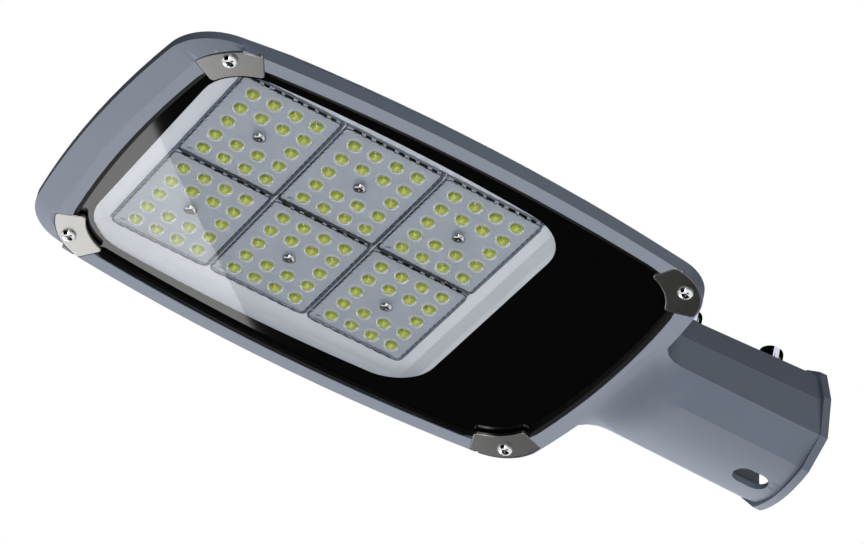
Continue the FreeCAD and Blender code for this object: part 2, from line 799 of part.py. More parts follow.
def housing():
    band = outline_prism("rim band", ("0", "0", "0"), RIM, "band_height",
                         "front_corner_r", "rear_corner_r")
    back = dome()
    below = box("below the slab", ("2*head_length", "2*head_width", f"crown_height + {SLAB_TOP}"),
                (HEAD_FRONT + " - head_length/2", "-head_width", "-crown_height"))
    slab = common("floor slab", back, below)
    finned = common("trimmed fins", back, fins())
    rear_part = box("bay shell reach", ("2*bay_length", "2*head_width", "4*crown_height"),
                    (BAY_FRONT + " - bay_wall", "-head_width", "-2*crown_height"))
    bay_shell = common("bay shell", back, rear_part)
    bosses = [cylinder("clamp bolt boss", "boss_r", f"{top} - bore_r", (x, "0", "bore_r"))
              for x, top in BOLTS]
    solid = fuse("casting", band, slab, finned, bay_shell, neck(), spigot(), flange(), *bosses)
    recess = outline_prism("glass recess", OPENING, RIM, LEDGE + " + rim_drop",
                           "opening_front_r", "opening_rear_r")
    pocket = outline_prism("light engine pocket", POCKET, LEDGE, f"{FLOOR} - ({LEDGE})",
                           "opening_front_r", "opening_rear_r")
    bore = cylinder("pole bore", "bore_r", "bore_depth + overrun", ("-bore_depth", "0", "0"), V(1, 0, 0))
    behind = cylinder("space past the pole's stop", "bore_r - stop_width", "gland_space + overrun",
                      (GLAND_SEAT, "0", "0"), V(1, 0, 0))
    groove = box("wiring groove", (f"{BAY_FRONT} - ({GROOVE_END})", "groove_width", "groove_depth"),
                 (GROOVE_END, "-groove_width/2", FLOOR))
    gland_hole = cylinder("gland hole", "gland_r + thread_gap", "end_wall + 2*overrun",
                          (GLAND_SEAT + " - end_wall - overrun", "0", "gland_rise"), V(1, 0, 0))
    holes = [cylinder("bolt hole", "bolt_r + thread_gap", "2*bore_r", (x, "0", "bore_r/2")) for x, _ in BOLTS]
    seats = []
    for end, x, side, turn in CLIPS:
        seats.append(place_clip(clip_shape("clip seat", end, "clip_gap"), x, side, turn))
        holes.append(cylinder("clip screw hole", "clip_screw_r + thread_gap",
                              "clip_screw_length + thread_gap", (x, clip_side(side), CLIP_BACK)))
    return node("housing", cut("housing", solid, recess, pocket, driver_bay("driver bay space"), bore,
                               behind, keel_slot(), groove, gland_hole, bezel_cut(), *holes, *seats))


def module_places():
    places = []
    for x in (f"{ENGINE_X} - {PITCH_X}", ENGINE_X, f"{ENGINE_X} + {PITCH_X}"):
        places.append((x, f"-{PITCH_Y}/2"))
        places.append((x, f"{PITCH_Y}/2"))
    return places


# Glass and what holds it


def glass():
    return node("glass_cover", outline_prism("glass", GLASS_OUT, GLASS_FACE, "glass_thickness",
                                             "opening_front_r - gasket_side",
                                             "opening_rear_r - gasket_side"))


def gasket():
    height = "2*gasket_lip + glass_thickness"
    outer = outline_prism("gasket outside", GASKET_OUT, CLIP_BACK, height,
                          "opening_front_r - seat_gap", "opening_rear_r - seat_gap")
    inner = outline_prism("gasket inside", GASKET_IN, CLIP_BACK, height,
                          "opening_front_r - gasket_side - gasket_lip_width",
                          "opening_rear_r - gasket_side - gasket_lip_width")
    return node("glass_gasket", cut("gasket", outer, inner, nodes["glass_cover"]))


def clips():
    for index, (end, x, side, turn) in enumerate(CLIPS, start=1):
        hole = cylinder("clip hole", "clip_screw_r + thread_gap", "clip_thickness + 2*overrun",
                        ("0", "0", "-overrun"))
        clip = cut("clip", clip_shape("clip plate", end, "0"), hole)
        node(f"glass_clip_{index}", place_clip(clip, x, side, turn))


def clip_screws():
    # Each has a head below the clip, and a shank that goes through the clip into the casting
    screws = []
    for _, x, side, _ in CLIPS:
        head = cylinder("screw head", "clip_screw_head_r", "clip_screw_head_height",
                        (x, clip_side(side), RIM + " - clip_screw_head_height"))
        shank = cylinder("screw shank", "clip_screw_r", "clip_thickness + clip_screw_length",
                         (x, clip_side(side), RIM))
        screws.append(fuse("clip screw", head, shank))
    group = doc.addObject("Part::Compound", "Screws")
    group.Links = screws
    node("clip_screws", group)


# Light engine

DOME_SIDES = 6


def module_box(label, margin, low, high):
    # A block centred on the module's own origin, in from the module's edge by margin
    long = f"{PITCH_X} - module_gap - 2*({margin})"
    wide = f"{PITCH_Y} - module_gap - 2*({margin})"
    return box(label, (long, wide, f"{high} - ({low})"), (f"-({long})/2", f"-({wide})/2", low))


def led_spots():
    # Four by five, without the middle two of the middle row
    pitch_x = number(f"({PITCH_X} - module_gap - 2*led_margin_x)/3")
    pitch_y = number(f"({PITCH_Y} - module_gap - 2*led_margin_y)/4")
    for row in range(5):
        for column in range(4):
            if row == 2 and column in (1, 2):
                continue
            yield (column - 1.5) * pitch_x, (row - 2) * pitch_y


def frustum(x, y):
    # A many-sided lens dome that hangs from the plate's face
    rings = []
    for radius, level in ((number("dome_r"), number(LENS_FACE)), (number("dome_top_r"), number(DOME_TIP))):
        turns = [2 * math.pi * (step + 0.5) / DOME_SIDES for step in range(DOME_SIDES)]
        rings.append([V(x + radius * math.cos(a), y + radius * math.sin(a), level) for a in turns])
    return flat_sided(rings)


def lens_plate():
    body = new_body("lens plate blank")
    sketch = new_sketch(body, level=LENS_FACE)
    x, y = f"{PITCH_X}/2 - module_gap/2", f"{PITCH_Y}/2 - module_gap/2"
    minus_x, minus_y = f"-{PITCH_X}/2 + module_gap/2", f"-{PITCH_Y}/2 + module_gap/2"
    profile(sketch, [(minus_x, minus_y), (x, minus_y), (x, y), (minus_x, y)])
    pad(body, sketch, f"{FLOOR} - ({LENS_FACE})")
    round_uprights(body, "module_corner_r")
    hollow = module_box("lens plate hollow", "lens_skirt", LENS_BACK, FLOOR)
    domes = feature("lens domes", Part.makeCompound([frustum(x, y) for x, y in led_spots()]))
    return fuse("lens plate", cut("open lens plate", body, hollow), domes)


def board():
    return module_box("board", "lens_skirt + board_gap", BOARD_FACE, FLOOR)


def led_chips():
    size = number("led_size")
    low = number(LED_FACE)
    chips = [Part.makeBox(size, size, number("led_height"), V(x - size / 2, y - size / 2, low))
             for x, y in led_spots()]
    return feature("led chips", Part.makeCompound(chips))


def light_engine():
    masters = {"lens_plate": lens_plate(), "led_board": board(), "leds": led_chips()}
    for index, (x, y) in enumerate(module_places(), start=1):
        for name, master in masters.items():
            node(f"{name}_{index}", copy_at(name, master, x, y))


def reflector_tray():
    level = FLOOR + " - tray_thickness"
    sheet_metal = outline_prism("tray sheet", TRAY_OUT, level, "tray_thickness",
                                "opening_front_r - tray_gap", "opening_rear_r - tray_gap")
    reach = box("tray reach", ("head_length - bay_length - bay_wall/2", "head_width", "2*rim_drop"),
                (HEAD_FRONT, "-head_width/2", "-rim_drop"))
    opening = box("module opening", (f"3*{PITCH_X}", f"2*{PITCH_Y}", "2*rim_drop"),
                  (f"{ENGINE_X} - 1.5*{PITCH_X}", f"-{PITCH_Y}", "-rim_drop"))
    node("reflector_tray", cut("tray", common("tray blank", sheet_metal, reach), opening))


# Driver bay


def driver():
    body = new_body("driver case")
    sketch = new_sketch(body, level=DRIVER_FACE)
    x, y = DRIVER_X + " + driver_width/2", f"{DRIVER_LENGTH}/2"
    minus_x, minus_y = DRIVER_X + " - driver_width/2", f"-{DRIVER_LENGTH}/2"
    profile(sketch, [(minus_x, minus_y), (x, minus_y), (x, y), (minus_x, y)])
    pad(body, sketch, "driver_height")
    round_uprights(body, "driver_corner_r")
    ears = box("driver ears", ("2*ear_length", f"{DRIVER_LENGTH} + 2*ear_length", "ear_thickness"),
               (DRIVER_X + " - ear_length", f"-{DRIVER_LENGTH}/2 - ear_length",
                DRIVER_BACK + " - ear_thickness"))
    node("led_driver", fuse("driver and ears", body, ears))


def side_block(label, length, side):
    y = f"{BLOCK_SIDE} - block_width/2" if side > 0 else f"-{BLOCK_SIDE} - block_width/2"
    return box(label, (length, "block_width", "block_height"), (f"{BLOCK_X} - {length}/2", y, DRIVER_FACE))


def side_blocks():
    wells = []
    for step in (-1, 0, 1):
        wells.append(box("terminal well", ("well_width", "well_width", "well_depth"),
                         (f"{BLOCK_X} + ({step})*block_length/3 - well_width/2", BLOCK_SIDE, DRIVER_FACE)))
    node("terminal_block", cut("terminals", side_block("terminal body", "block_length", 1), *wells))
    node("surge_protector", side_block("surge_protector", "surge_length", -1))


def bent_lead():
    # Flat lead in its own frame: it leaves a block's end along +X, then turns to -Y and the driver
    body = new_body("flat lead")
    end = f"{DRIVER_LENGTH}/2 - {BLOCK_SIDE}"
    inner, outer = "lead_run - lead_thickness/2", "lead_run + lead_thickness/2"
    turn = "lead_run - lead_bend_r"
    corners = [("0", "-lead_thickness/2"), (turn, "-lead_thickness/2"), (inner, "-lead_bend_r"), (inner, end),
               (outer, end), (outer, "-lead_bend_r"), (turn, "lead_thickness/2"), ("0", "lead_thickness/2")]
    arcs = [(1, -1, "lead_bend_r - lead_thickness/2"), (5, 1, "lead_bend_r + lead_thickness/2")]
    sketch = new_sketch(body)
    profile(sketch, corners, arcs)
    pad(body, sketch, "lead_width")
    return body


def leads():
    level = DRIVER_FACE + " + block_height/2 - lead_width/2"
    node("driver_input_lead", place(bent_lead(), f"{BLOCK_X} + block_length/2", BLOCK_SIDE, level))
    mirrored = doc.addObject("Part::Mirroring", "Mirroring")
    mirrored.Label = "mirrored lead"
    mirrored.Source = place(bent_lead(), f"{BLOCK_X} + surge_length/2", BLOCK_SIDE, level)
    mirrored.Normal = V(0, 1, 0)
    node("surge_lead", mirrored)
    node("led_lead", cylinder("led_lead", "lead_r", f"{DRIVER_X} - driver_width/2 - ({GROOVE_END}) - lead_r",
                              (GROOVE_END + " + lead_r", "0", FLOOR + " + groove_depth/2"), V(1, 0, 0)))


def cable_gland():
    along = V(1, 0, 0)
    cap = hexagon("gland cap", "gland_cap_r", "gland_cap_length", (GLAND_SEAT, "0", "gland_rise"), along)
    thread = cylinder("gland thread", "gland_r", "end_wall + gland_nut_length + overrun",
                      (GLAND_SEAT + " - end_wall - gland_nut_length - overrun", "0", "gland_rise"), along)
    hole = cylinder("gland hole", "gland_hole_r", "bore_depth",
                    ("-1.5*bore_depth", "0", "gland_rise"), along)
    node("cable_gland", cut("gland", fuse("gland blank", cap, thread), hole))
    blank = hexagon("nut blank", "gland_nut_r", "gland_nut_length",
                    (GLAND_SEAT + " - end_wall - gland_nut_length", "0", "gland_rise"), along)
    tapped = cylinder("nut hole", "gland_r + thread_gap", "3*gland_nut_length",
                      (GLAND_SEAT + " - end_wall - 2*gland_nut_length", "0", "gland_rise"), along)
    node("gland_nut", cut("nut", blank, tapped))


def clamp_bolts():
    bolts = []
    for x, top in BOLTS:
        head = cylinder("bolt head", "bolt_head_r", "bolt_head_height", (x, "0", top))
        shank = cylinder("bolt shank", "bolt_r", f"{top} - bore_r - bolt_tip_gap",
                         (x, "0", "bore_r + bolt_tip_gap"))
        socket = hexagon("hex socket", "bolt_socket_r", "bolt_socket_depth + overrun",
                         (x, "0", f"{top} + bolt_head_height - bolt_socket_depth"))
        bolts.append(cut("clamp bolt", fuse("bolt blank", head, shank), socket))
    group = doc.addObject("Part::Compound", "Bolts")
    group.Links = bolts
    node("clamp_bolts", group)


housing()
glass()
gasket()
clips()
clip_screws()
light_engine()
reflector_tray()
driver()
side_blocks()
leads()
cable_gland()
clamp_bolts()
doc.recompute()

for made in doc.Objects:
    wrong = [state for state in made.State if state in ("Invalid", "Error")]
    if wrong:
        raise RuntimeError(f"{made.Label} is {wrong[0]}")
for name, made in nodes.items():
    if made.Shape.isNull() or not made.Shape.isValid():
        raise RuntimeError(f"{name} has no valid shape")

os.makedirs("parts", exist_ok=True)
for name, made in nodes.items():
    made.Shape.exportStep(f"parts/{name}.step")
    print(f"{name}: {len(made.Shape.Solids)} solids, {made.Shape.Volume / 1000:.2f} cm3")
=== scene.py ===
import math
import bmesh
import bpy
from mathutils import Matrix, Vector


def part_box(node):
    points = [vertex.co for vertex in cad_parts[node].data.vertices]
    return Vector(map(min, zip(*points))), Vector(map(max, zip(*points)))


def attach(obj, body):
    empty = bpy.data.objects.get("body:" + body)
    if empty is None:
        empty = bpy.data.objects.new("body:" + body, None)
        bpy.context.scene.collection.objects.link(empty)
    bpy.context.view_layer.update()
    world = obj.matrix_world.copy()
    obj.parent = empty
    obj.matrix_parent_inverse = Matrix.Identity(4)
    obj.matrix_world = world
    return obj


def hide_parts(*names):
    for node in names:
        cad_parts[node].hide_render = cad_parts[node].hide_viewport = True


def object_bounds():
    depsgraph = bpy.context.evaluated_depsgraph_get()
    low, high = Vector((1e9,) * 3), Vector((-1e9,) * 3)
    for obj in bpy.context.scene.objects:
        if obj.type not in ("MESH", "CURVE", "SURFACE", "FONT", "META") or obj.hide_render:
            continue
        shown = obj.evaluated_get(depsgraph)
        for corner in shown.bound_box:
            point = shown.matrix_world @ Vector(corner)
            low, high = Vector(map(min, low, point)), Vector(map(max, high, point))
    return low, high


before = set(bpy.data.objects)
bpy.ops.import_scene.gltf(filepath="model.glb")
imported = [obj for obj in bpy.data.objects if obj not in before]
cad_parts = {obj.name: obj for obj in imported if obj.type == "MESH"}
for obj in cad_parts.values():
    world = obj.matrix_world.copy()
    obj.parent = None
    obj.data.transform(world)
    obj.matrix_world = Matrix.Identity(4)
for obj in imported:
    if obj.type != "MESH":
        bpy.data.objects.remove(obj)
cadLow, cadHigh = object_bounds()
mm = 0.001

# the camera looks up at the underside from the front, as the photograph does
photoCamera = {
    "place": (-0.92314, -1.74057, -1.43097),
    "right": (0.8532, -0.49069, 0.17682),
    "down": (0.42721, 0.46295, -0.77664),
    "forward": (0.29923, 0.73817, 0.60462),
    "lens": 195.12,
    "sensor": 36.0,
    "clip": (0.05, 50.0),
}


def newObject(name, data):
    made = bpy.data.objects.new(name, data)
    bpy.context.scene.collection.objects.link(made)
    return made


def makeCamera():
    data = bpy.data.cameras.new("photoCamera")
    data.lens = photoCamera["lens"]
    data.sensor_width = photoCamera["sensor"]
    data.sensor_fit = "HORIZONTAL"
    data.clip_start, data.clip_end = photoCamera["clip"]
    camera = newObject("photoCamera", data)
    right, down, forward = (Vector(photoCamera[name]).normalized() for name in ("right", "down", "forward"))
    turn = Matrix((right, -down, -forward)).transposed()
    camera.matrix_world = Matrix.Translation(photoCamera["place"]) @ turn.to_4x4()
    bpy.context.scene.camera = camera


makeCamera()
print("camera set")


# shader groups
groupOutputs = (("Color", "NodeSocketColor"), ("Roughness", "NodeSocketFloat"), ("Height", "NodeSocketFloat"))
grain = {"detail": 3.0, "slowScale": 14.0, "cellScale": 1.7, "cellShare": 0.6}
streak = {"scale": 1.0, "detail": 4.0}


def newGroup(name, inputs):
    tree = bpy.data.node_groups.new(name, "ShaderNodeTree")
    for label, kind, value in inputs:
        socket = tree.interface.new_socket(name=label, in_out="INPUT", socket_type=kind)
        socket.default_value = value
    for label, kind in groupOutputs:
        tree.interface.new_socket(name=label, in_out="OUTPUT", socket_type=kind)
    return tree, tree.nodes.new("NodeGroupInput"), tree.nodes.new("NodeGroupOutput")


def link(tree, start, end):
    tree.links.new(start, end)


def objectPlace(tree):
    return tree.nodes.new("ShaderNodeTexCoord").outputs["Object"]


def feed(tree, value, socket):
    # a number is set, and anything else is linked
    if isinstance(value, (int, float)):
        socket.default_value = value
    else:
        link(tree, value, socket)


def setInputs(node, values):
    for label, value in values.items():
        node.inputs[label].default_value = value


def mathNode(tree, operation, first, second):
    node = tree.nodes.new("ShaderNodeMath")
    node.operation = operation
    feed(tree, first, node.inputs[0])
    feed(tree, second, node.inputs[1])
    return node.outputs[0]


def noise(tree, coordinates, scale, detail=2.0):
    node = tree.nodes.new("ShaderNodeTexNoise")
    node.inputs["Detail"].default_value = detail
    link(tree, coordinates, node.inputs["Vector"])
    feed(tree, scale, node.inputs["Scale"])
    return node.outputs["Fac"]


def swing(tree, pattern, amount):
    # a noise that goes as far below zero as above it
    return mathNode(tree, "MULTIPLY", mathNode(tree, "SUBTRACT", pattern, 0.5), amount)


def giveTone(tree, entry, result, change):
    # the group's colour, lighter or darker by the change
    shade = tree.nodes.new("ShaderNodeVectorMath")
    shade.operation = "SCALE"
    link(tree, entry.outputs["Color"], shade.inputs[0])
    link(tree, mathNode(tree, "ADD", change, 1.0), shade.inputs["Scale"])
    link(tree, shade.outputs[0], result.inputs["Color"])


def makeGrain():
    # a fine even texture: paint peel, moulded skin or frosting, with a slow drift of tone
    tree, entry, result = newGroup("finishGrain", (
        ("Color", "NodeSocketColor", (0.5, 0.5, 0.5, 1)), ("Grain Scale", "NodeSocketFloat", 900.0),
        ("Tone Drift", "NodeSocketFloat", 0.06), ("Fleck", "NodeSocketFloat", 0.08),
        ("Roughness", "NodeSocketFloat", 0.4), ("Roughness Spread", "NodeSocketFloat", 0.08)))
    place = objectPlace(tree)
    fine = noise(tree, place, entry.outputs["Grain Scale"], grain["detail"])
    slow = noise(tree, place, grain["slowScale"])
    voronoi = tree.nodes.new("ShaderNodeTexVoronoi")
    link(tree, place, voronoi.inputs["Vector"])
    cellScale = mathNode(tree, "MULTIPLY", entry.outputs["Grain Scale"], grain["cellScale"])
    link(tree, cellScale, voronoi.inputs["Scale"])
    drift = swing(tree, slow, entry.outputs["Tone Drift"])
    speck = swing(tree, fine, entry.outputs["Fleck"])
    giveTone(tree, entry, result, mathNode(tree, "ADD", drift, speck))
    spread = swing(tree, slow, entry.outputs["Roughness Spread"])
    link(tree, mathNode(tree, "ADD", entry.outputs["Roughness"], spread), result.inputs["Roughness"])
    cells = mathNode(tree, "MULTIPLY", voronoi.outputs["Distance"], grain["cellShare"])
    link(tree, mathNode(tree, "ADD", fine, cells), result.inputs["Height"])
    return tree


def makeBrushed():
    # long fine scratches along one axis, as on rolled sheet and turned steel
    tree, entry, result = newGroup("brushedMetal", (
        ("Color", "NodeSocketColor", (0.6, 0.6, 0.6, 1)),
        ("Stretch", "NodeSocketVector", (60.0, 1500.0, 300.0)),
        ("Streak", "NodeSocketFloat", 0.1), ("Roughness", "NodeSocketFloat", 0.3)))
    stretched = tree.nodes.new("ShaderNodeVectorMath")
    stretched.operation = "MULTIPLY"
    link(tree, objectPlace(tree), stretched.inputs[0])
    link(tree, entry.outputs["Stretch"], stretched.inputs[1])
    streaks = noise(tree, stretched.outputs[0], streak["scale"], streak["detail"])
    change = swing(tree, streaks, entry.outputs["Streak"])
    giveTone(tree, entry, result, change)
    link(tree, mathNode(tree, "ADD", entry.outputs["Roughness"], change), result.inputs["Roughness"])
    link(tree, streaks, result.inputs["Height"])
    return tree


finishGrain = makeGrain()
brushedMetal = makeBrushed()


# materials
clearFinish = {"smearScale": 60.0, "smearDetail": 3.0, "waveScale": 45.0, "waveDetail": 1.0,
               "relief": (0.03, 0.0002)}


def srgb(red, green, blue):
    # the colour as a paint card gives it, 0 to 255, in the linear values that shaders use
    parts = [value / 255 for value in (red, green, blue)]
    return tuple(p / 12.92 if p <= 0.04045 else ((p + 0.055) / 1.055) ** 2.4 for p in parts) + (1.0,)


def newMaterial(name):
    material = bpy.data.materials.new(name)
    material.use_nodes = True
    tree = material.node_tree
    return material, tree, tree.nodes["Principled BSDF"]


def addRelief(tree, principled, height, strength, distance):
    relief = tree.nodes.new("ShaderNodeBump")
    setInputs(relief, {"Strength": strength, "Distance": distance})
    link(tree, height, relief.inputs["Height"])
    link(tree, relief.outputs[0], principled.inputs["Normal"])


def mixInto(tree, output, share, first, second):
    # the output shows the first shader, and the second by the share
    mix = tree.nodes.new("ShaderNodeMixShader")
    for index, source in enumerate((share, first.outputs[0], second.outputs[0])):
        link(tree, source, mix.inputs[index])
    link(tree, mix.outputs[0], tree.nodes[output].inputs["Surface"])


def dressed(name, group, values, bump, **shader):
    # a material whose colour, roughness and relief come from a shader group
    material, tree, principled = newMaterial(name)
    effect = tree.nodes.new("ShaderNodeGroup")
    effect.node_tree = group
    setInputs(effect, values)
    link(tree, effect.outputs["Color"], principled.inputs["Base Color"])
    link(tree, effect.outputs["Roughness"], principled.inputs["Roughness"])
    addRelief(tree, principled, effect.outputs["Height"], *bump)
    setInputs(principled, {label.replace("_", " "): value for label, value in shader.items()})
    return material


def grained(name, color, scale, drift, fleck, roughness, spread, bump, **shader):
    values = {"Color": srgb(*color), "Grain Scale": scale, "Tone Drift": drift, "Fleck": fleck,
              "Roughness": roughness, "Roughness Spread": spread}
    return dressed(name, finishGrain, values, bump, **shader)


def brushed(name, color, stretch, streak, roughness, bump, **shader):
    values = {"Color": srgb(*color), "Stretch": stretch, "Streak": streak, "Roughness": roughness}
    return dressed(name, brushedMetal, values, bump, **shader)


def clear(name, tint, roughness, ior, shadowTint):
    # clear glass or plastic that lets lamps shine through it
    material, tree, principled = newMaterial(name)
    place = objectPlace(tree)
    setInputs(principled, {"Base Color": srgb(*tint), "Transmission Weight": 1.0, "IOR": ior})
    smear = noise(tree, place, clearFinish["smearScale"], clearFinish["smearDetail"])
    link(tree, mathNode(tree, "MULTIPLY", smear, roughness), principled.inputs["Roughness"])
    wave = noise(tree, place, clearFinish["waveScale"], clearFinish["waveDetail"])
    addRelief(tree, principled, wave, *clearFinish["relief"])
    through = tree.nodes.new("ShaderNodeBsdfTransparent")
    through.inputs[0].default_value = srgb(*shadowTint)
    path = tree.nodes.new("ShaderNodeLightPath")
    mixInto(tree, "Material Output", path.outputs["Is Shadow Ray"], principled, through)
    return material


# name, colour, grain scale, tone drift, fleck, roughness and its spread, then relief: strength and depth
powderCoat = grained("powderCoat", (131, 138, 151), 1100.0, 0.04, 0.08, 0.52, 0.06, (0.1, 0.0001),
                     Specular_IOR_Level=0.32)
printInk = grained("printInk", (9, 9, 10), 1500.0, 0.1, 0.3, 0.035, 0.01, (0.01, 0.00002))
boardMask = grained("boardMask", (205, 211, 214), 700.0, 0.05, 0.06, 0.35, 0.05, (0.1, 0.0001))
ledCase = grained("ledCase", (236, 236, 232), 2500.0, 0.02, 0.04, 0.4, 0.05, (0.05, 0.00005))
phosphor = grained("phosphor", (180, 194, 44), 620.0, 0.1, 0.75, 0.45, 0.05, (0.2, 0.00005))
# the chip's paler yellow paints the highlight band seen in each lens
paintedChipHighlight = grained("paintedChipHighlight", (212, 222, 118), 1400.0, 0.05, 0.2, 0.4, 0.05, (0.1, 0.00005))
trayPaint = grained("trayPaint", (224, 226, 230), 900.0, 0.03, 0.05, 0.38, 0.05, (0.08, 0.0001))
sealRubber = grained("sealRubber", (10, 10, 11), 1300.0, 0.1, 0.3, 0.6, 0.1, (0.15, 0.0001),
                     Specular_IOR_Level=0.2)
terminalPlastic = grained("terminalPlastic", (214, 210, 196), 1200.0, 0.03, 0.08, 0.45, 0.06, (0.08, 0.0001))
surgePlastic = grained("surgePlastic", (52, 74, 112), 1200.0, 0.04, 0.08, 0.42, 0.06, (0.08, 0.0001))
leadJacket = grained("leadJacket", (38, 38, 40), 1600.0, 0.06, 0.2, 0.5, 0.08, (0.12, 0.0001))
glandNylon = grained("glandNylon", (44, 46, 50), 1400.0, 0.05, 0.15, 0.42, 0.08, (0.1, 0.0001))
# name, tint, roughness, refraction, tint of the shadow
coverGlass = clear("coverGlass", (253, 253, 254), 0.01, 1.5, (246, 247, 249))
lensPlastic = clear("lensPlastic", (251, 251, 253), 0.02, 1.49, (240, 241, 244))
# name, colour, streaks to the metre along each axis, streak, roughness, relief
clipSteel = brushed("clipSteel", (160, 159, 157), (90.0, 1800.0, 2400.0), 0.03, 0.28, (0.05, 0.00005),
                    Metallic=1.0)
chrome = brushed("chrome", (226, 227, 230), (900.0, 900.0, 200.0), 0.03, 0.09, (0.03, 0.00003), Metallic=1.0)
boltSteel = brushed("boltSteel", (172, 175, 182), (500.0, 500.0, 1800.0), 0.06, 0.1, (0.06, 0.00005),
                    Metallic=1.0)
driverShell = brushed("driverShell", (178, 180, 184), (40.0, 1500.0, 1500.0), 0.14, 0.4, (0.06, 0.00006),
                      Metallic=0.9)
print("materials made")


# mesh helpers
merging = {"distance": 0.002, "flat": 0.6}
softEdge = {"steps": 2, "angle": 35.0}


def sizes(values, *names):
    # settings in millimetres, given in the frame's metres
    return [values[name] * mm for name in names]


def nodeCentre(name):
    low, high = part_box(name)
    return (low + high) / 2


def smoothOver(mesh, degrees=30):
    # smooth over edges flatter than the angle
    mesh.shade_smooth()
    mesh.set_sharp_from_angle(angle=math.radians(degrees))
    return mesh


def addPiece(name, mesh, material, smooth=30):
    mesh.name = name
    mesh.materials.append(material)
    piece = newObject(name, mesh)
    if smooth:
        smoothOver(mesh, smooth)
    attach(piece, "root")
    return piece


def meshFrom(bm, name="part"):
    mesh = bpy.data.meshes.new(name)
    bm.to_mesh(mesh)
    bm.free()
    return mesh


def mergedCopy(nodeName):
    # a clean copy of a frame node: its loose triangles joined, and flat areas made one face
    bm = bmesh.new()
    bm.from_mesh(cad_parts[nodeName].data)
    bmesh.ops.remove_doubles(bm, verts=bm.verts, dist=merging["distance"] * mm)
    bmesh.ops.dissolve_limit(bm, angle_limit=math.radians(merging["flat"]), verts=bm.verts, edges=bm.edges)
    return bm


def applyModifiers(piece):
    shown = bpy.data.meshes.new_from_object(piece.evaluated_get(bpy.context.evaluated_depsgraph_get()))
    piece.modifiers.clear()
    piece.data = shown


def addBevel(piece, width):
    bevel = piece.modifiers.new("edges", "BEVEL")
    bevel.width = width
    bevel.segments = softEdge["steps"]
    bevel.limit_method = "ANGLE"
    bevel.angle_limit = math.radians(softEdge["angle"])
    bevel.harden_normals = True


def turned(points, steps, bm=None, at=(0, 0, 0)):
    # a closed form turned from (radius, level) points, from its lower pole to its upper one
    bm = bm or bmesh.new()
    rings = []
    for radius, level in points:
        corners = range(steps if radius > 1e-7 else 1)
        rings.append([bm.verts.new((radius * math.cos(2 * math.pi * i / steps),
                                    radius * math.sin(2 * math.pi * i / steps), level)) for i in corners])
    for low, high in zip(rings, rings[1:]):
        for i in range(steps):
            j = (i + 1) % steps
            corners = [low[i % len(low)], low[j % len(low)], high[j % len(high)], high[i % len(high)]]
            bm.faces.new(list(dict.fromkeys(corners)))
    bmesh.ops.translate(bm, verts=[vert for ring in rings for vert in ring], vec=at)
    return bm


def drum(radius, low, high, steps, bm=None, at=(0, 0, 0)):
    return turned([(0, low), (radius, low), (radius, high), (0, high)], steps, bm, at)


def skin(bm, rings):
    # faces from each ring of corners to the next
    made = []
    for ring, after in zip(rings, rings[1:]):
        for i in range(len(ring)):
            j = (i + 1) % len(ring)
            made.append(bm.faces.new((ring[i], ring[j], after[j], after[i])))
    return made


def helper(name, bm):
    # an object that lasts until it has cut, or until its mesh is taken
    return newObject(name, meshFrom(bm, name))


def takeMesh(tool, degrees=None):
    mesh = tool.data
    bpy.data.objects.remove(tool)
    return smoothOver(mesh, degrees) if degrees else mesh


def cutBy(piece, tools, operation="DIFFERENCE"):
    # boolean with helper meshes, which are removed again
    for tool in tools:
        step = piece.modifiers.new(operation, "BOOLEAN")
        step.operation = operation
        step.solver = "EXACT"
        step.object = tool
    applyModifiers(piece)
    for tool in tools:
        bpy.data.objects.remove(tool)


def blockMesh(low, high, bm=None):
    bm = bm or bmesh.new()
    low, high = Vector(low), Vector(high)
    made = bmesh.ops.create_cube(bm, size=1.0)["verts"]
    bmesh.ops.scale(bm, verts=made, vec=high - low)
    bmesh.ops.translate(bm, verts=made, vec=(low + high) / 2)
    return bm


# repeats by geometry nodes
def newRepeatTree():
    # a piece on each point of the carrying mesh, turned by the point's "turn" and by chance
    tree = bpy.data.node_groups.new("piecesOnPoints", "GeometryNodeTree")
    for label, kind in (("Points", "NodeSocketGeometry"), ("Piece", "NodeSocketObject"),
                        ("Finish", "NodeSocketMaterial"), ("Turn Jitter", "NodeSocketFloat"),
                        ("Seed", "NodeSocketInt")):
        tree.interface.new_socket(name=label, in_out="INPUT", socket_type=kind)
    tree.interface.new_socket(name="Pieces", in_out="OUTPUT", socket_type="NodeSocketGeometry")
    entry, result = tree.nodes.new("NodeGroupInput"), tree.nodes.new("NodeGroupOutput")
    info = tree.nodes.new("GeometryNodeObjectInfo")
    info.transform_space = "ORIGINAL"
    turn = tree.nodes.new("GeometryNodeInputNamedAttribute")
    turn.data_type = "FLOAT_VECTOR"
    turn.inputs["Name"].default_value = "turn"
    chance = tree.nodes.new("FunctionNodeRandomValue")  # from inputs[2] to inputs[3], as outputs[1]
    chance.inputs[2].default_value = 0.0
    spin = tree.nodes.new("ShaderNodeCombineXYZ")
    whole = tree.nodes.new("ShaderNodeVectorMath")
    place = tree.nodes.new("GeometryNodeInstanceOnPoints")
    real = tree.nodes.new("GeometryNodeRealizeInstances")
    paint = tree.nodes.new("GeometryNodeSetMaterial")
    for start, output, end, entrance in (
            (entry, "Piece", info, "Object"), (entry, "Turn Jitter", chance, 3),
            (entry, "Seed", chance, "Seed"), (chance, 1, spin, "Z"), (turn, "Attribute", whole, 0),
            (spin, 0, whole, 1),
            (entry, "Points", place, "Points"), (info, "Geometry", place, "Instance"),
            (whole, 0, place, "Rotation"), (place, 0, real, 0), (real, 0, paint, "Geometry"),
            (entry, "Finish", paint, "Material"), (paint, 0, result, "Pieces")):
        link(tree, start.outputs[output], end.inputs[entrance])
    return tree


repeatTree = newRepeatTree()


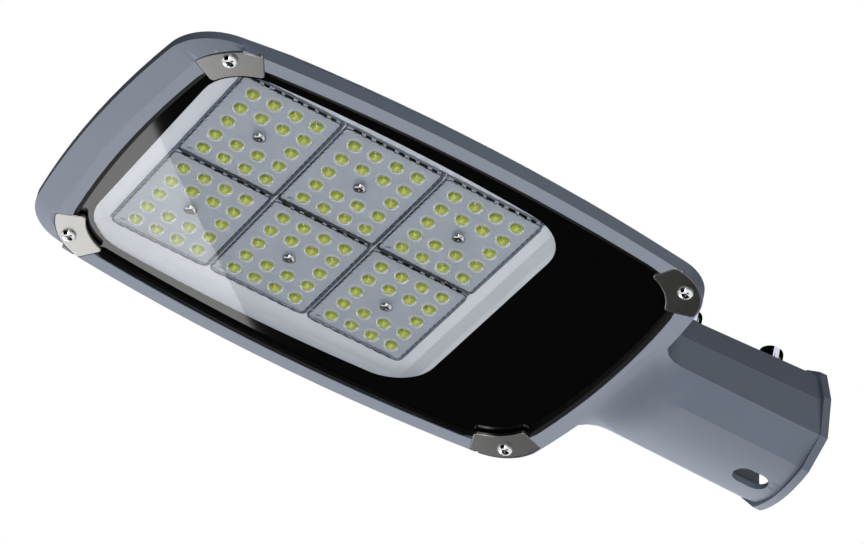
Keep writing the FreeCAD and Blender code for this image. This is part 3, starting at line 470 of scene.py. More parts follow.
def repeat(name, pattern, places, material, jitter=0.0, seed=1):
    # places are (point, turn) pairs; pattern is a mesh whose faces keep their own smoothness
    points = bpy.data.meshes.new(name + "Points")
    points.from_pydata([point for point, _ in places], [], [])
    turns = points.attributes.new("turn", "FLOAT_VECTOR", "POINT")
    for index, (_, turn) in enumerate(places):
        turns.data[index].vector = turn
    carrier = newObject(name, points)
    source = newObject(name + "Source", pattern)
    modifier = carrier.modifiers.new("repeat", "NODES")
    modifier.node_group = repeatTree
    given = {"Piece": source, "Finish": material, "Turn Jitter": jitter, "Seed": seed}
    for item in repeatTree.interface.items_tree:
        if item.name in given:
            modifier[item.identifier] = given[item.name]
    applyModifiers(carrier)
    bpy.data.objects.remove(source)
    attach(carrier, "root")
    return carrier


# screws and bolts; the profiles are shares of the radius and of the height or length
panHead = {"crossReach": 0.52, "crossWidth": 0.15, "crossDepth": 0.62, "crossAbove": 1.4, "narrowing": 0.55,
           "steps": 40, "sharp": 34.0, "jitter": 6.28,
           "socket": ((0, 1.1), (1, 1.1), (1, 0.9), (0.8, 0.72), (0, 0.7)),
           "dome": ((0, 1), (0.3, 0.985), (0.55, 0.91), (0.75, 0.76), (0.9, 0.52), (0.98, 0.24), (1.0, 0.06),
                    (0.98, 0)),
           "shank": ((1, 0), (1, 0.9), (0.6, 1), (0, 1))}


def crossArms(radius, height):
    # the two arms of a cross recess, which narrow to their floor
    reach, wide = panHead["crossReach"], panHead["crossWidth"]
    arms = []
    for along, across in ((reach, wide), (wide, reach)):
        arm = blockMesh((-radius * along, -radius * across, -height * panHead["crossAbove"]),
                        (radius * along, radius * across, -height * (1 - panHead["crossDepth"])))
        for vert in arm.verts:
            if vert.co.z > -height:
                vert.co.x *= panHead["narrowing"]
                vert.co.y *= panHead["narrowing"]
        arms.append(helper("arm", arm))
    return arms


def panScrew(radius, height, shankRadius, shankLength, socket=0.0):
    # domed head below the origin and a shank above it; a socket of 0 leaves the head its cross recess
    head = [(radius * share, -height * rise) for share, rise in panHead["dome"]]
    shank = [(shankRadius * share, shankLength * rise) for share, rise in panHead["shank"]]
    screw = helper("screw", turned(head + shank, panHead["steps"]))
    if socket:
        profile = [(radius * socket * share, -height * rise) for share, rise in panHead["socket"]]
        cutBy(screw, [helper("socket", turned(profile, panHead["steps"]))])
    else:
        cutBy(screw, crossArms(radius, height))
    return takeMesh(screw, panHead["sharp"])


def addScrews(name, values, heads):
    # pan head screws with their seats at the given points, each turned by chance
    pattern = panScrew(*sizes(values, "radius", "height", "shank", "length"), values["socket"])
    repeat(name, pattern, [(head, (0, 0, 0)) for head in heads], chrome, jitter=panHead["jitter"],
           seed=values["seed"])


socketBolt = {"headRadius": 6.5, "headHeight": 8.0, "shankRadius": 4.0, "socketRadius": 3.4,
              "socketDepth": 4.5, "edge": 0.7, "tip": 1.0, "knurlDepth": 0.12, "knurlWithin": 0.02}
boltShape = {"tipShare": 0.7, "seatEdge": 0.4, "rim": ((0, 1.6), (0.25, 0.7), (1, 0)), "knurls": 36,
             "sharp": 28.0}


def capScrew(length):
    # socket head with a knurled side, its seat at the origin and its shank below
    v = {key: value * mm for key, value in socketBolt.items()}
    steps, seatEdge = boltShape["knurls"] * 2, v["edge"] * boltShape["seatEdge"]
    rim = [(v["headRadius"] - v["edge"] * inward, v["headHeight"] - v["edge"] * below)
           for inward, below in boltShape["rim"]]
    bm = turned([(0, -length), (v["shankRadius"] * boltShape["tipShare"], -length),
                 (v["shankRadius"], -length + v["tip"]), (v["shankRadius"], 0),
                 (v["headRadius"] - seatEdge, 0), (v["headRadius"], seatEdge), *rim,
                 (0, v["headHeight"])], steps)
    for vert in bm.verts:  # every second line of the side is sunk to knurl it
        flatRadius = math.hypot(vert.co.x, vert.co.y)
        around = round(math.atan2(vert.co.y, vert.co.x) / (2 * math.pi) * steps)
        if flatRadius > v["headRadius"] - v["knurlWithin"] and vert.co.z > 0 and around % 2:
            vert.co.x *= 1 - v["knurlDepth"] / flatRadius
            vert.co.y *= 1 - v["knurlDepth"] / flatRadius
    bolt = helper("bolt", bm)
    socket = bmesh.new()
    bmesh.ops.create_cone(socket, cap_ends=True, segments=6, radius1=v["socketRadius"],
                          radius2=v["socketRadius"], depth=v["socketDepth"] * 2)
    bmesh.ops.translate(socket, verts=socket.verts, vec=(0, 0, v["headHeight"]))
    cutBy(bolt, [helper("socket", socket)])
    return takeMesh(bolt, boltShape["sharp"])


# housing
casting = {"sharp": 28.0, "facetSharp": 6.0, "spigotFrom": -126.0, "boreRadius": 31.5, "flatSharp": 7.0,
           "flatBelow": -8.0, "rim": -17.7, "shortest": 2.5, "straight": 0.05, "lengthwise": 0.8,
           "level": 0.9995, "keelBelow": -20.0, "keelSharpFrom": -84.0, "keelHalf": 20.4, "neckEnd": -77.0}


def readsSharp(edge):
    # shallow edges that still read as edges: the spigot's long sides, and the border of any level face
    ends = [vert.co / mm for vert in edge.verts]
    angle = math.degrees(edge.calc_face_angle())
    along = ends[0] - ends[1]
    foremost = min(end.x for end in ends)
    straight = foremost < casting["keelSharpFrom"] or abs(along.y) < casting["straight"] * abs(along.x)
    if foremost > casting["spigotFrom"] and abs(along.x) > casting["lengthwise"] * along.length and straight:
        rounded = max(abs(end.y) for end in ends) < casting["keelHalf"] or foremost < casting["keelSharpFrom"]
        if rounded and max(end.z for end in ends) < casting["keelBelow"]:
            return False
        outside = min(math.hypot(end.y, end.z) for end in ends) > casting["boreRadius"]
        return outside and along.length > casting["shortest"] and angle > casting["facetSharp"]
    level = any(abs(face.normal.z) > casting["level"] for face in edge.link_faces)
    return level and angle > casting["flatSharp"] and casting["rim"] < ends[0].z < casting["flatBelow"]


def makeCasting():
    bm = mergedCopy("housing")
    # a line of edges just past the neck keeps its soft shading off the long flat sides
    bmesh.ops.bisect_plane(bm, geom=bm.verts[:] + bm.edges[:] + bm.faces[:],
                           plane_co=(casting["neckEnd"] * mm, 0, 0), plane_no=(1, 0, 0))
    piece = addPiece("casting", meshFrom(bm), powderCoat, casting["sharp"])
    bm = bmesh.new()
    bm.from_mesh(piece.data)
    for edge in bm.edges:
        if len(edge.link_faces) == 2 and edge.smooth and readsSharp(edge):
            edge.smooth = False
    bm.to_mesh(piece.data)
    bm.free()
    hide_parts("housing")


makeCasting()
print("casting made")

# glass, its print and its seal
cover = {"edge": 0.4, "sharp": 40}
glassPrint = {"gap": 0.02, "thickness": 0.03, "sealInset": 1.0, "corner": 27.0, "steps": 10, "side": 14,
              "front": -98.0, "rear": 98.5, "half": 87.5, "bow": 900.0, "middle": -280.0}
glassSeal = {"lip": 1.5, "lipClear": 1.5, "lowestWithin": 0.1}


def makeCover():
    glass = addPiece("coverGlass", meshFrom(mergedCopy("glass_cover")), coverGlass, cover["sharp"])
    addBevel(glass, cover["edge"] * mm)
    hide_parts("glass_cover")


def roundedWindow():
    # the clear window: straight ends, sides bowed as the rim is, and round corners
    points = []
    corner, front, rear = (glassPrint[key] for key in ("corner", "front", "rear"))

    def side(x):
        return glassPrint["half"] - (glassPrint["bow"] - math.sqrt(glassPrint["bow"] ** 2 - x ** 2))

    for turnStart, x, sign in ((0, rear, 1), (90, front, 1), (180, front, -1), (270, rear, -1)):
        inward = -corner if x > 0 else corner
        centre = (x + inward, sign * (side(x + inward) - corner))
        for step in range(glassPrint["steps"] + 1):
            angle = math.radians(turnStart + 90 * step / glassPrint["steps"])
            points.append((centre[0] + corner * math.cos(angle), centre[1] + corner * math.sin(angle)))
        if turnStart in (0, 180):
            start, end = (rear - corner, front + corner)[::sign]
            for step in range(1, glassPrint["side"]):
                x0 = start + (end - start) * step / glassPrint["side"]
                points.append((x0, sign * side(x0)))
    return [((x + glassPrint["middle"]) * mm, y * mm) for x, y in points]


def makePrint():
    # a thin black sheet on the outer face, with the window cut out of it
    low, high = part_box("glass_cover")
    bm = mergedCopy("glass_cover")
    size = 1 - glassPrint["sealInset"] * mm / ((high.y - low.y) / 2)
    middle = (low + high) / 2
    face = low.z - glassPrint["gap"] * mm
    for vert in bm.verts:
        vert.co.x = middle.x + (vert.co.x - middle.x) * size
        vert.co.y *= size
        vert.co.z = face if vert.co.z > middle.z else face - glassPrint["thickness"] * mm
    sheet = addPiece("glassPrint", meshFrom(bm), printInk, smooth=None)
    window = bmesh.new()
    outline = roundedWindow()
    rings = [[window.verts.new((x, y, low.z + rise)) for x, y in outline] for rise in (-mm, mm)]
    window.faces.new(reversed(rings[0]))
    window.faces.new(rings[1])
    skin(window, rings)
    bmesh.ops.recalc_face_normals(window, faces=window.faces)
    cutBy(sheet, [helper("window", window)])
    sheet.visible_shadow = False  # so thin a print doesn't darken the tray round the window


def makeSeal():
    # the seal's outer lip stands lower than its solid, apart from under the clips
    bm = mergedCopy("glass_gasket")
    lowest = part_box("glass_gasket")[0].z
    clips = [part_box(f"glass_clip_{index}") for index in range(1, 5)]
    clearBy = glassSeal["lipClear"] * mm
    for vert in bm.verts:
        under = any(start.x - clearBy < vert.co.x < stop.x + clearBy
                    and start.y - clearBy < vert.co.y < stop.y + clearBy for start, stop in clips)
        if vert.co.z < lowest + glassSeal["lowestWithin"] * mm and not under:
            vert.co.z -= glassSeal["lip"] * mm
    seal = addPiece("glassSeal", meshFrom(bm), sealRubber)
    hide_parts("glass_gasket")


makeCover()
makePrint()
makeSeal()
print("glass made")

# corner clips and their screws
clipDetail = {"edge": 0.35, "sharp": 40, "headRadius": 4.0, "headHeight": 2.7, "shankRadius": 2.0,
              "shankLength": 11.9, "turn": 0.5, "turnStep": 1.3}


def makeClips():
    places = []
    low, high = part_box("clip_screws")
    inset = clipDetail["headRadius"] * mm
    for index in range(1, 5):
        name = f"glass_clip_{index}"
        clip = addPiece(f"clip{index}", meshFrom(mergedCopy(name)), clipSteel, clipDetail["sharp"])
        addBevel(clip, clipDetail["edge"] * mm)
        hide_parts(name)
        x = low.x + inset if nodeCentre(name).x < (low.x + high.x) / 2 else high.x - inset
        y = low.y + inset if nodeCentre(name).y < 0 else high.y - inset
        turn = clipDetail["turn"] + index * clipDetail["turnStep"]
        places.append(((x, y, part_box(name)[0].z), (0, 0, turn)))
    pattern = panScrew(*sizes(clipDetail, "headRadius", "headHeight", "shankRadius", "shankLength"))
    screws = repeat("clipScrews", pattern, places, chrome)
    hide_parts("clip_screws")


makeClips()

# the second bolt stands lower, as the spigot's ridge falls toward the mouth
clampBolts = {"fall": 2.45, "turns": (0.2, 0.7), "shorter": 0.1}


def makeBolts():
    low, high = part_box("clamp_bolts")
    radius, head = sizes(socketBolt, "headRadius", "headHeight")
    seat, fall = high.z - head, clampBolts["fall"] * mm
    places = [((high.x - radius, 0, seat), (0, 0, clampBolts["turns"][0])),
              ((low.x + radius, 0, seat - fall), (0, 0, clampBolts["turns"][1]))]
    length = seat - low.z - fall - clampBolts["shorter"] * mm
    bolts = repeat("clampBolts", capScrew(length), places, boltSteel)
    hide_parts("clamp_bolts")


makeBolts()
print("clips and bolts made")

# light engine
lensPlate = {"thickness": 1.2, "skirt": 1.0, "corner": 3.0, "hollowCorner": 2.0, "edge": 0.55, "sharp": 32.0,
             "domeRadius": 4.4, "domeHeight": 3.0, "ballRadius": 4.45, "rings": 9, "steps": 32,
             "ringHeight": 0.35, "ring": ((0.25, 0.6), (0.55, 0.62), (0.86, 0.6), (1.0, 0.45), (1.0, 0.1)),
             "rootShare": 0.995, "margin": 10.05, "columns": 4, "rows": 5, "wellRadius": 3.6,
             "wellDepth": 0.7, "wellReach": 4.0, "footRadius": 2.6, "footReach": 0.32, "footRoot": 0.2}
lensRib = {"radius": 0.75, "pitch": 4.6, "inset": 6.0, "start": 0.7, "stop": 3.4, "steps": 10}
lensPip = {"radius": 1.7, "inset": 5.0, "steps": 20,
           "profile": ((0, -0.5), (0.8, -0.5), (1, -0.3), (1, 0.4), (0, 0.4))}
blockShape = {"cornerSteps": 6, "edgeSteps": 2, "square": 1.2}
moduleNames = [f"lens_plate_{index}" for index in range(1, 7)]


def moduleSpots(size):
    # centres of the lenses in a module whose middle is the origin: four by five without the middle two
    margin = lensPlate["margin"] * mm
    spots = []
    for row in range(lensPlate["rows"]):
        for column in range(lensPlate["columns"]):
            if row == 2 and column in (1, 2):
                continue
            spots.append(((column / (lensPlate["columns"] - 1) - 0.5) * (size.x - 2 * margin),
                          (row / (lensPlate["rows"] - 1) - 0.5) * (size.y - 2 * margin)))
    return spots


def roundedBlock(name, low, high, corner, edge):
    # a plate with round corners and softened edges
    bm = blockMesh(low, high)

    def rise(item):
        return abs(item.verts[0].co.z - item.verts[1].co.z)

    def soften(items, width, steps):
        bmesh.ops.bevel(bm, geom=items, offset=width, segments=steps, affect="EDGES", profile=0.5)

    soften([item for item in bm.edges if rise(item) > 1e-6], corner, blockShape["cornerSteps"])
    if edge:
        soften([item for item in bm.edges if rise(item) < 1e-6
                and item.calc_face_angle(0) > blockShape["square"]], edge, blockShape["edgeSteps"])
    return helper(name, bm)


def addDomes(bm, face, spots):
    # a dome at each spot, and on the plate's back a foot that rests on the light source
    ball, height, ring, radius, thickness = sizes(
        lensPlate, "ballRadius", "domeHeight", "ringHeight", "domeRadius", "thickness")
    sweep = math.acos((ball - height + ring) / ball)
    outline = [(ball * math.sin(sweep * i / lensPlate["rings"]),
                ball - height - ball * math.cos(sweep * i / lensPlate["rings"]))
               for i in range(lensPlate["rings"] + 1)]
    # the ring round the ball is hollowed a little, and its rim is round
    start = outline[-1][0]
    outline += [(start + (radius - start) * share, -ring * rise) for share, rise in lensPlate["ring"]]
    outline += [(radius * lensPlate["rootShare"], thickness * 0.5), (0, thickness * 0.5)]
    foot, root, reach = sizes(lensPlate, "footRadius", "footRoot", "footReach")
    for x, y in spots:
        turned(outline, lensPlate["steps"], bm, (x, y, face))
        drum(foot, -root, reach, lensPlate["steps"], bm, (x, y, face + thickness))


def addRibs(bm, face, size):
    # snap ribs along the plate's sides
    rib, start, stop = sizes(lensRib, "radius", "start", "stop")
    for along, across in ((0, 1), (1, 0)):
        length = size[along] - 2 * lensRib["inset"] * mm
        count = round(length / (lensRib["pitch"] * mm))
        for step in range(count + 1):
            for sign in (-1, 1):
                spot = [0, 0, face]
                spot[along] = (step / count - 0.5) * length
                spot[across] = sign * (size[across] / 2 - rib)
                drum(rib, start, stop, lensRib["steps"], bm, spot)


def makeLensMesh():
    low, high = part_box(moduleNames[0])
    size = high - low
    face = low.z + lensPlate["domeHeight"] * mm  # the plate's outer face, which looks down
    plate = roundedBlock("lens", (-size.x / 2, -size.y / 2, face), (size.x / 2, size.y / 2, high.z),
                         lensPlate["corner"] * mm, lensPlate["edge"] * mm)
    skirt, floor, corner = sizes(lensPlate, "skirt", "thickness", "hollowCorner")
    cutBy(plate, [roundedBlock("hollow", (-size.x / 2 + skirt, -size.y / 2 + skirt, face + floor),
                               (size.x / 2 - skirt, size.y / 2 - skirt, high.z + mm), corner, 0)])
    details = bmesh.new()
    addDomes(details, face, moduleSpots(size))
    addRibs(details, face, size)
    corner = lensPip["inset"] * mm
    pip = [(lensPip["radius"] * mm * share, level * mm) for share, level in lensPip["profile"]]
    turned(pip, lensPip["steps"], details, (-size.x / 2 + corner, size.y / 2 - corner, face))
    cutBy(plate, [helper("details", details)], "UNION")
    radius, depth, reach = sizes(lensPlate, "wellRadius", "wellDepth", "wellReach")
    cutBy(plate, [helper("well", drum(radius, -reach, depth, lensPlate["steps"], at=(0, 0, face)))])
    return takeMesh(plate, lensPlate["sharp"])


# sizes of the black strips that paint shade into the gaps between the modules
gapShadeStrip = {"gap": 0.06, "thickness": 0.16, "height": 0.35, "toothHeight": 1.5, "below": 0.15, "corner": 3.0,
             "pitch": 6.2, "teeth": (0.78, 0.5, 0.66), "edge": 0.03}


def makeGapShadeMesh(low, high):
    # dark strips at a module's skirt that paint shade into the gaps between modules: whole at two sides, in
    # teeth at the other two
    bm = bmesh.new()
    size = high - low
    gap, thick, deep, toothDeep, corner, pitch = sizes(
        gapShadeStrip, "gap", "thickness", "height", "toothHeight", "corner", "pitch")
    top = low.z + (lensPlate["domeHeight"] + gapShadeStrip["below"]) * mm
    long, wide = size.y / 2 - corner, size.x - 2 * corner
    count = round(wide / pitch)
    for sign in (-1, 1):
        (left, right), (inner, outer) = (sorted((sign * (full / 2 + gap), sign * (full / 2 + gap + thick)))
                                         for full in (size.x, size.y))
        blockMesh((left, -long, top), (right, long, top + deep), bm)
        for step in range(count):
            x = ((step + 0.5) / count - 0.5) * wide
            tooth = pitch / 2 * gapShadeStrip["teeth"][step % len(gapShadeStrip["teeth"])]
            blockMesh((x - tooth, inner, top), (x + tooth, outer, top + toothDeep), bm)
    bmesh.ops.bevel(bm, geom=bm.edges[:], offset=gapShadeStrip["edge"] * mm, segments=1, affect="EDGES")
    return smoothOver(meshFrom(bm, "gapShadeStrips"))


ledBoard = {"corner": 1.5, "edge": 0.15}
ledPackage = {"side": 5.0, "corner": 0.35, "edge": 0.08, "dishDepth": 0.15, "dishNarrowing": 0.96,
              "dishSteps": 24, "phosphorRadius": 2.3, "phosphorRise": 1.3, "phosphorShare": 0.97,
              "phosphorRoot": 0.14, "phosphorSteps": 8,
              "phosphorDome": ((0, 1), (0.6, 0.98), (0.88, 0.8), (1, 0)),
              "chipWidth": 1.2, "chipLength": 2.6, "chipProud": 0.05, "padInner": 1.9, "padOuter": 4.3,
              "padThickness": 0.05, "padSteps": 32}


def makeLedCase(height):
    # a white case with a dish for the round face
    side, radius, depth = sizes(ledPackage, "side", "phosphorRadius", "dishDepth")
    case = roundedBlock("case", (-side / 2, -side / 2, 0), (side / 2, side / 2, height),
                        ledPackage["corner"] * mm, ledPackage["edge"] * mm)
    dish = turned([(0, -mm), (radius, -mm), (radius * ledPackage["dishNarrowing"], depth), (0, depth)],
                  ledPackage["dishSteps"])
    cutBy(case, [helper("dish", dish)])
    return takeMesh(case)


def makePhosphor():
    # the round yellow-green face
    radius, rise, root = sizes(ledPackage, "phosphorRadius", "phosphorRise", "phosphorRoot")
    radius *= ledPackage["phosphorShare"]
    points = [(radius * share, -rise * up) for share, up in ledPackage["phosphorDome"]]
    bm = turned(points + [(radius, root), (0, root)], ledPackage["phosphorSteps"])
    return smoothOver(meshFrom(bm, "phosphorFace"))


def makeChipHighlight():
    # a chip in the face, coloured paler to paint the highlight band across each lens's yellow face
    wide, long, proud, rise = sizes(ledPackage, "chipWidth", "chipLength", "chipProud", "phosphorRise")
    return takeMesh(roundedBlock("chip", (-wide / 2, -long / 2, -rise - proud),
                                 (wide / 2, long / 2, -rise + 4 * proud), wide / 4, proud / 2))


def makePad(level):
    # a white ring on the board lies round each case
    inner, outer, thick = sizes(ledPackage, "padInner", "padOuter", "padThickness")
    bm = turned([(inner, level), (inner, level - thick), (outer - thick, level - thick), (outer, level),
                 (inner, level)], ledPackage["padSteps"])
    bmesh.ops.remove_doubles(bm, verts=bm.verts, dist=merging["distance"] * mm / 2)
    bmesh.ops.recalc_face_normals(bm, faces=bm.faces)
    return smoothOver(meshFrom(bm, "pad"))


moduleScrews = {"radius": 3.3, "height": 2.0, "shank": 1.2, "length": 3.0, "socket": 0.2, "seed": 4}


def makeLightEngine():
    low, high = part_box(moduleNames[0])
    centres = [nodeCentre(name) for name in moduleNames]
    flat = [((centre.x, centre.y, 0), (0, 0, 0)) for centre in centres]
    lenses = repeat("lensPlates", makeLensMesh(), flat, lensPlastic)
    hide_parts(*moduleNames)
    boardLow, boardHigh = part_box("led_board_1")
    half = (boardHigh - boardLow) / 2
    board = roundedBlock("board", (-half.x, -half.y, boardLow.z), (half.x, half.y, boardHigh.z),
                         ledBoard["corner"] * mm, ledBoard["edge"] * mm)
    boards = repeat("ledBoards", takeMesh(board), flat, boardMask)
    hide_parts(*[f"led_board_{index}" for index in range(1, 7)])
    # black strips paint the shade in the gaps between modules
    repeat("moduleSeals", makeGapShadeMesh(low, high), flat, sealRubber)
    ledLow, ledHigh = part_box("leds_1")
    spots = [((centre.x + x, centre.y + y, ledLow.z), (0, 0, 0))
             for centre in centres for x, y in moduleSpots(high - low)]
    repeat("ledCases", makeLedCase(ledHigh.z - ledLow.z), spots, ledCase)
    faces = repeat("ledPhosphor", makePhosphor(), spots, phosphor)
    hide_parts(*[f"leds_{index}" for index in range(1, 7)])
    # paler chips paint a highlight band into each yellow face
    repeat("ledChips", makeChipHighlight(), spots, paintedChipHighlight)
    repeat("ledPads", makePad(boardLow.z - ledLow.z), spots, ledCase)
    # one screw holds each module, its head in the well of the lens plate
    seat = low.z + lensPlate["domeHeight"] * mm + lensPlate["wellDepth"] * mm
    addScrews("moduleScrews", moduleScrews, [(centre.x, centre.y, seat) for centre in centres])


makeLightEngine()
print("light engine made")

# tray, driver bay and cable entry: name, material, slot and edge of each
plainParts = {
    "reflector_tray": ("reflectorTray", trayPaint, "tray", 0.12),
    "led_driver": ("driverCase", driverShell, "driver_case", 0.6),
    "terminal_block": ("terminalBlock", terminalPlastic, "block_plastic", 0.4),
    "surge_protector": ("surgeBlock", surgePlastic, "surge_plastic", 0.8),
    "driver_input_lead": ("inputLead", leadJacket, "lead", 0.5),
    "surge_lead": ("surgeLead", leadJacket, "lead", 0.5),
    "led_lead": ("boardLead", leadJacket, "lead", 0.2),
    "cable_gland": ("cableGland", glandNylon, "gland", 0.4),
    "gland_nut": ("glandNut", glandNylon, "gland", 0.3),
}
# the section gives inset, depth and reach toward the spigot
trayLip = {"outline": 0.9, "flatten": 4,
           "section": ((5.0, 0.02, 0), (0.6, 4.8, 0), (0.5, 4.84, 9.0), (0.5, 4.94, 9.0), (0.05, 4.94, 0),
                       (0.05, 0.02, 0))}
trayRib = {"thickness": 0.46, "below": 0.8}


def addTrayLip(bm):
    # a sloping lip round the tray, with a flange toward the spigot, hides the casting's pocket
    low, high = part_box("reflector_tray")
    middle, half = (low + high) / 2, (high - low) / 2
    outline = [vert.co.copy() for vert in bm.verts if vert.co.z < middle.z
               and max(abs(vert.co.x - middle.x) / half.x, abs(vert.co.y) / half.y) > trayLip["outline"]]
    outline.sort(key=lambda co: math.atan2(co.y, co.x - middle.x))
    rings = []
    for inset, level, reach in trayLip["section"]:
        ring = []
        for co in outline:
            rearward = max(0, (co.x - middle.x) / half.x) ** trayLip["flatten"]
            x = middle.x + (co.x - middle.x) * (1 - inset * mm / half.x) + reach * mm * rearward
            ring.append(bm.verts.new((x, co.y * (1 - inset * mm / half.y), low.z - level * mm)))
        rings.append(ring)
    bmesh.ops.recalc_face_normals(bm, faces=skin(bm, rings + rings[:1]))


def addTrayRibs(bm):
    # thin ribs of the tray stand in the gaps between the pairs of modules
    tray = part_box("reflector_tray")[0]
    boxes = [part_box(name) for name in moduleNames]
    start, stop = min(low.y for low, high in boxes), max(high.y for low, high in boxes)
    half = trayRib["thickness"] * mm / 2
    foot = boxes[0][0].z + (lensPlate["domeHeight"] + trayRib["below"]) * mm
    for after in sorted({round(low.x, 5) for low, high in boxes})[1:]:
        middle = (after + max(high.x for low, high in boxes if high.x < after)) / 2
        blockMesh((middle - half, start, foot), (middle + half, stop, tray.z + half), bm)


def makePlainParts():
    for nodeName, (name, material, slot, edge) in plainParts.items():
        bm = mergedCopy(nodeName)
        if nodeName == "reflector_tray":
            addTrayLip(bm)
            addTrayRibs(bm)
        piece = addPiece(name, meshFrom(bm), material)
        addBevel(piece, edge * mm)
        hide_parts(nodeName)


makePlainParts()
bayScrews = {"radius": 2.6, "height": 1.7, "shank": 1.4, "length": 7.0, "socket": 0, "seed": 7,
             "earInset": 4.5, "earThickness": 3.0}


def makeBayScrews():
    # one screw through each ear of the driver
    low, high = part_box("led_driver")
    inset, thick = sizes(bayScrews, "earInset", "earThickness")
    x, face = (low.x + high.x) / 2, high.z - thick
    addScrews("bayScrews", bayScrews, [(x, low.y + inset, face), (x, high.y - inset, face)])


makeBayScrews()
print("small parts made")

# studio
studio = {"background": 1.0, "fill": 0.05, "floorLevel": -4.6, "floorSize": 40.0, "paper": (244, 244, 244),
          "lampAway": 3.0}
lamps = {
    "underKey": {"toward": (0.45, 0.52, -0.73), "size": 3.0, "power": 99.0, "tint": (1.0, 0.99, 0.97)},
    "sideFill": {"toward": (-0.15, -0.80, -0.58), "size": 1.5, "power": 24.5, "tint": (0.83, 0.94, 1.06)},
    "topSoft": {"toward": (0.1, 0.6, 0.8), "size": 1.6, "power": 86.0, "tint": (0.92, 0.98, 1.06)},
    "edgeFill": {"toward": (-0.1, 1.0, -0.12), "size": 1.2, "power": 32.0, "tint": (1.0, 0.97, 0.94)},
}


def makeWorld():
    world = bpy.data.worlds.new("studio")
    bpy.context.scene.world = world
    world.use_nodes = True
    tree = world.node_tree
    plain, white = tree.nodes["Background"], tree.nodes.new("ShaderNodeBackground")
    for backdrop, strength in ((plain, studio["fill"]), (white, studio["background"])):
        setInputs(backdrop, {"Color": (1, 1, 1, 1), "Strength": strength})
    path = tree.nodes.new("ShaderNodeLightPath")
    seen = mathNode(tree, "MAXIMUM", path.outputs["Is Camera Ray"], path.outputs["Is Transmission Ray"])
    seen = mathNode(tree, "MAXIMUM", seen, path.outputs["Is Glossy Ray"])
    # light that a matt surface behind the glass gathers is the fill, not the backdrop
    seen = mathNode(tree, "MULTIPLY", seen, mathNode(tree, "LESS_THAN", path.outputs["Diffuse Depth"], 0.5))
    mixInto(tree, "World Output", seen, plain, white)


def aimed(direction, away):
    # a place round the object, and the turn that faces it from there
    toward = Vector(direction).normalized()
    return (cadLow + cadHigh) / 2 + toward * away, toward.to_track_quat("Z", "Y")


def makeLamp(name, values):
    data = bpy.data.lights.new(name, "AREA")
    data.shape = "SQUARE"
    data.energy, data.size, data.color = (values[key] for key in ("power", "size", "tint"))
    lamp = newObject(name, data)
    lamp.location, turn = aimed(values["toward"], studio["lampAway"])
    lamp.rotation_euler = turn.to_euler()
    lamp.visible_camera = lamp.visible_transmission = lamp.visible_glossy = False


def glowMaterial(name, strength):
    material, _, principled = newMaterial(name)
    setInputs(principled, {"Base Color": (0, 0, 0, 1), "Specular IOR Level": 0.0,
                           "Emission Color": (1, 1, 1, 1), "Emission Strength": strength})
    return material


def fourCorners(centre, side, up):
    return [centre - side - up, centre + side - up, centre + side + up, centre - side + up]


def newSheet(name, corners, material):
    mesh = bpy.data.meshes.new(name)
    mesh.from_pydata(corners, [], [range(len(corners))])
    mesh.materials.append(material)
    return newObject(name, mesh)


def makeCard(name, corners, strength):
    card = newSheet(name, corners, glowMaterial(name, strength))
    card.visible_camera = card.visible_diffuse = card.visible_shadow = False
    card.visible_transmission = name != "brightCard"


reflection = {"edgeStart": (-0.400, -0.031), "edgeEnd": (-0.262, 0.102), "away": 1.6, "bright": 2.6,
              "cardMargin": 0.6, "cardReach": 1.2, "flagMiddle": (-0.25, 0.0), "flagAway": 2.4,
              "flagHalf": 1.6}
panels = {
    "topFlag": {"toward": (0.0, 0.0, 1.0), "away": 2.4, "size": (9.0, 9.0), "bright": 0.0},
    "boltStripe": {"toward": (0.42, -0.66, 0.605), "away": 2.0, "size": (1.5, 1.6), "bright": 1.6},
    "frontFlag": {"toward": (-1.0, -0.25, -0.35), "away": 3.0, "size": (3.6, 4.0), "bright": 0.0},
    "sideFlag": {"toward": (-0.25, 1.0, -0.30), "away": 3.0, "size": (2.4, 1.6), "bright": 0.0},
    "frontStrip": {"toward": (-0.50, -0.72, -0.50), "away": 2.6, "size": (0.3, 2.0), "bright": 12.0},
    "lowFlag": {"toward": (0.35, -0.45, -1.0), "away": 3.0, "size": (1.2, 1.8), "bright": 0.0},
}


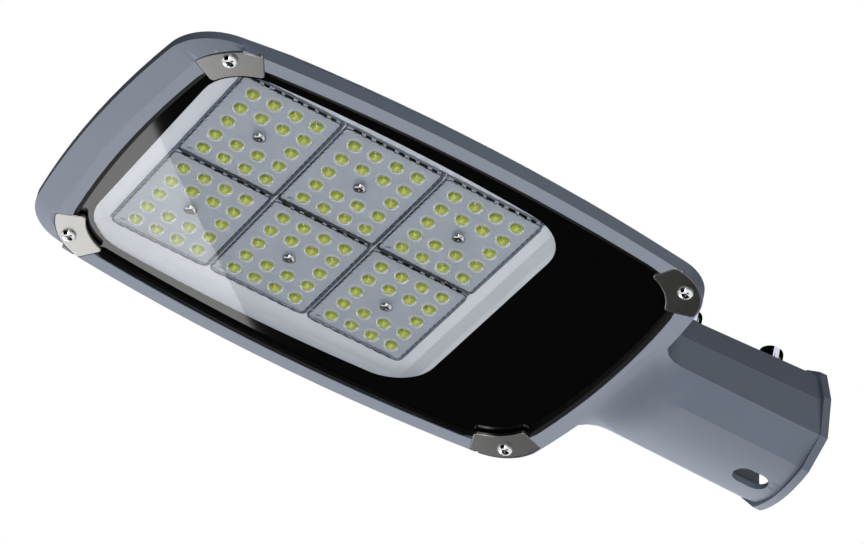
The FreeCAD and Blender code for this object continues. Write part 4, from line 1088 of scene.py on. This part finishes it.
def mirrored(x, y, away):
    # where the cover's face, seen by the camera at x, y, looks to after the mirror
    face = Vector((x, y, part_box("glass_cover")[0].z))
    sight = (face - Vector(photoCamera["place"])).normalized()
    return face + Vector((sight.x, sight.y, -sight.z)) * away


def makeReflection():
    # a bright card whose straight edge crosses the cover, and a dark flag behind it
    start = mirrored(*reflection["edgeStart"], reflection["away"])
    end = mirrored(*reflection["edgeEnd"], reflection["away"])
    sight = Vector(photoCamera["forward"])
    ray = Vector((sight.x, sight.y, -sight.z)).normalized()
    along = (end - start).normalized()
    out = ray.cross(along).normalized()
    if out.x > 0:
        out = -out
    start, end = start - along * reflection["cardMargin"], end + along * reflection["cardMargin"]
    reach = out * reflection["cardReach"]
    makeCard("brightCard", [start, end, end + reach, start + reach], reflection["bright"])
    centre = mirrored(*reflection["flagMiddle"], reflection["flagAway"])
    half = reflection["flagHalf"]
    makeCard("darkFlag", fourCorners(centre, along * half, out * half), 0.0)


def makePanels():
    # plain panels round the object that only its shiny parts mirror
    for name, values in panels.items():
        spot, turn = aimed(values["toward"], values["away"])
        wide, high = values["size"]
        turn = turn.to_matrix()
        corners = fourCorners(spot, turn @ Vector((wide / 2, 0, 0)), turn @ Vector((0, high / 2, 0)))
        makeCard(name, corners, values["bright"])


def makeFloor():
    # paper that shows plain white to the camera and in mirrors
    half = studio["floorSize"] / 2
    material, tree, principled = newMaterial("floorPaper")
    principled.inputs["Base Color"].default_value = srgb(*studio["paper"])
    path = tree.nodes.new("ShaderNodeLightPath")
    seen = mathNode(tree, "MAXIMUM", path.outputs["Is Camera Ray"], path.outputs["Is Glossy Ray"])
    mixInto(tree, "Material Output", seen, principled, tree.nodes.new("ShaderNodeEmission"))
    corners = fourCorners(Vector((0, 0, studio["floorLevel"])), Vector((half, 0, 0)), Vector((0, half, 0)))
    floor = newSheet("floor", corners, material)


makeWorld()
for lampName, lampValues in lamps.items():
    makeLamp(lampName, lampValues)
makeReflection()
makePanels()
makeFloor()
bpy.context.scene.view_settings.view_transform = "Standard"
print("studio made")

bpy.context.view_layer.update()
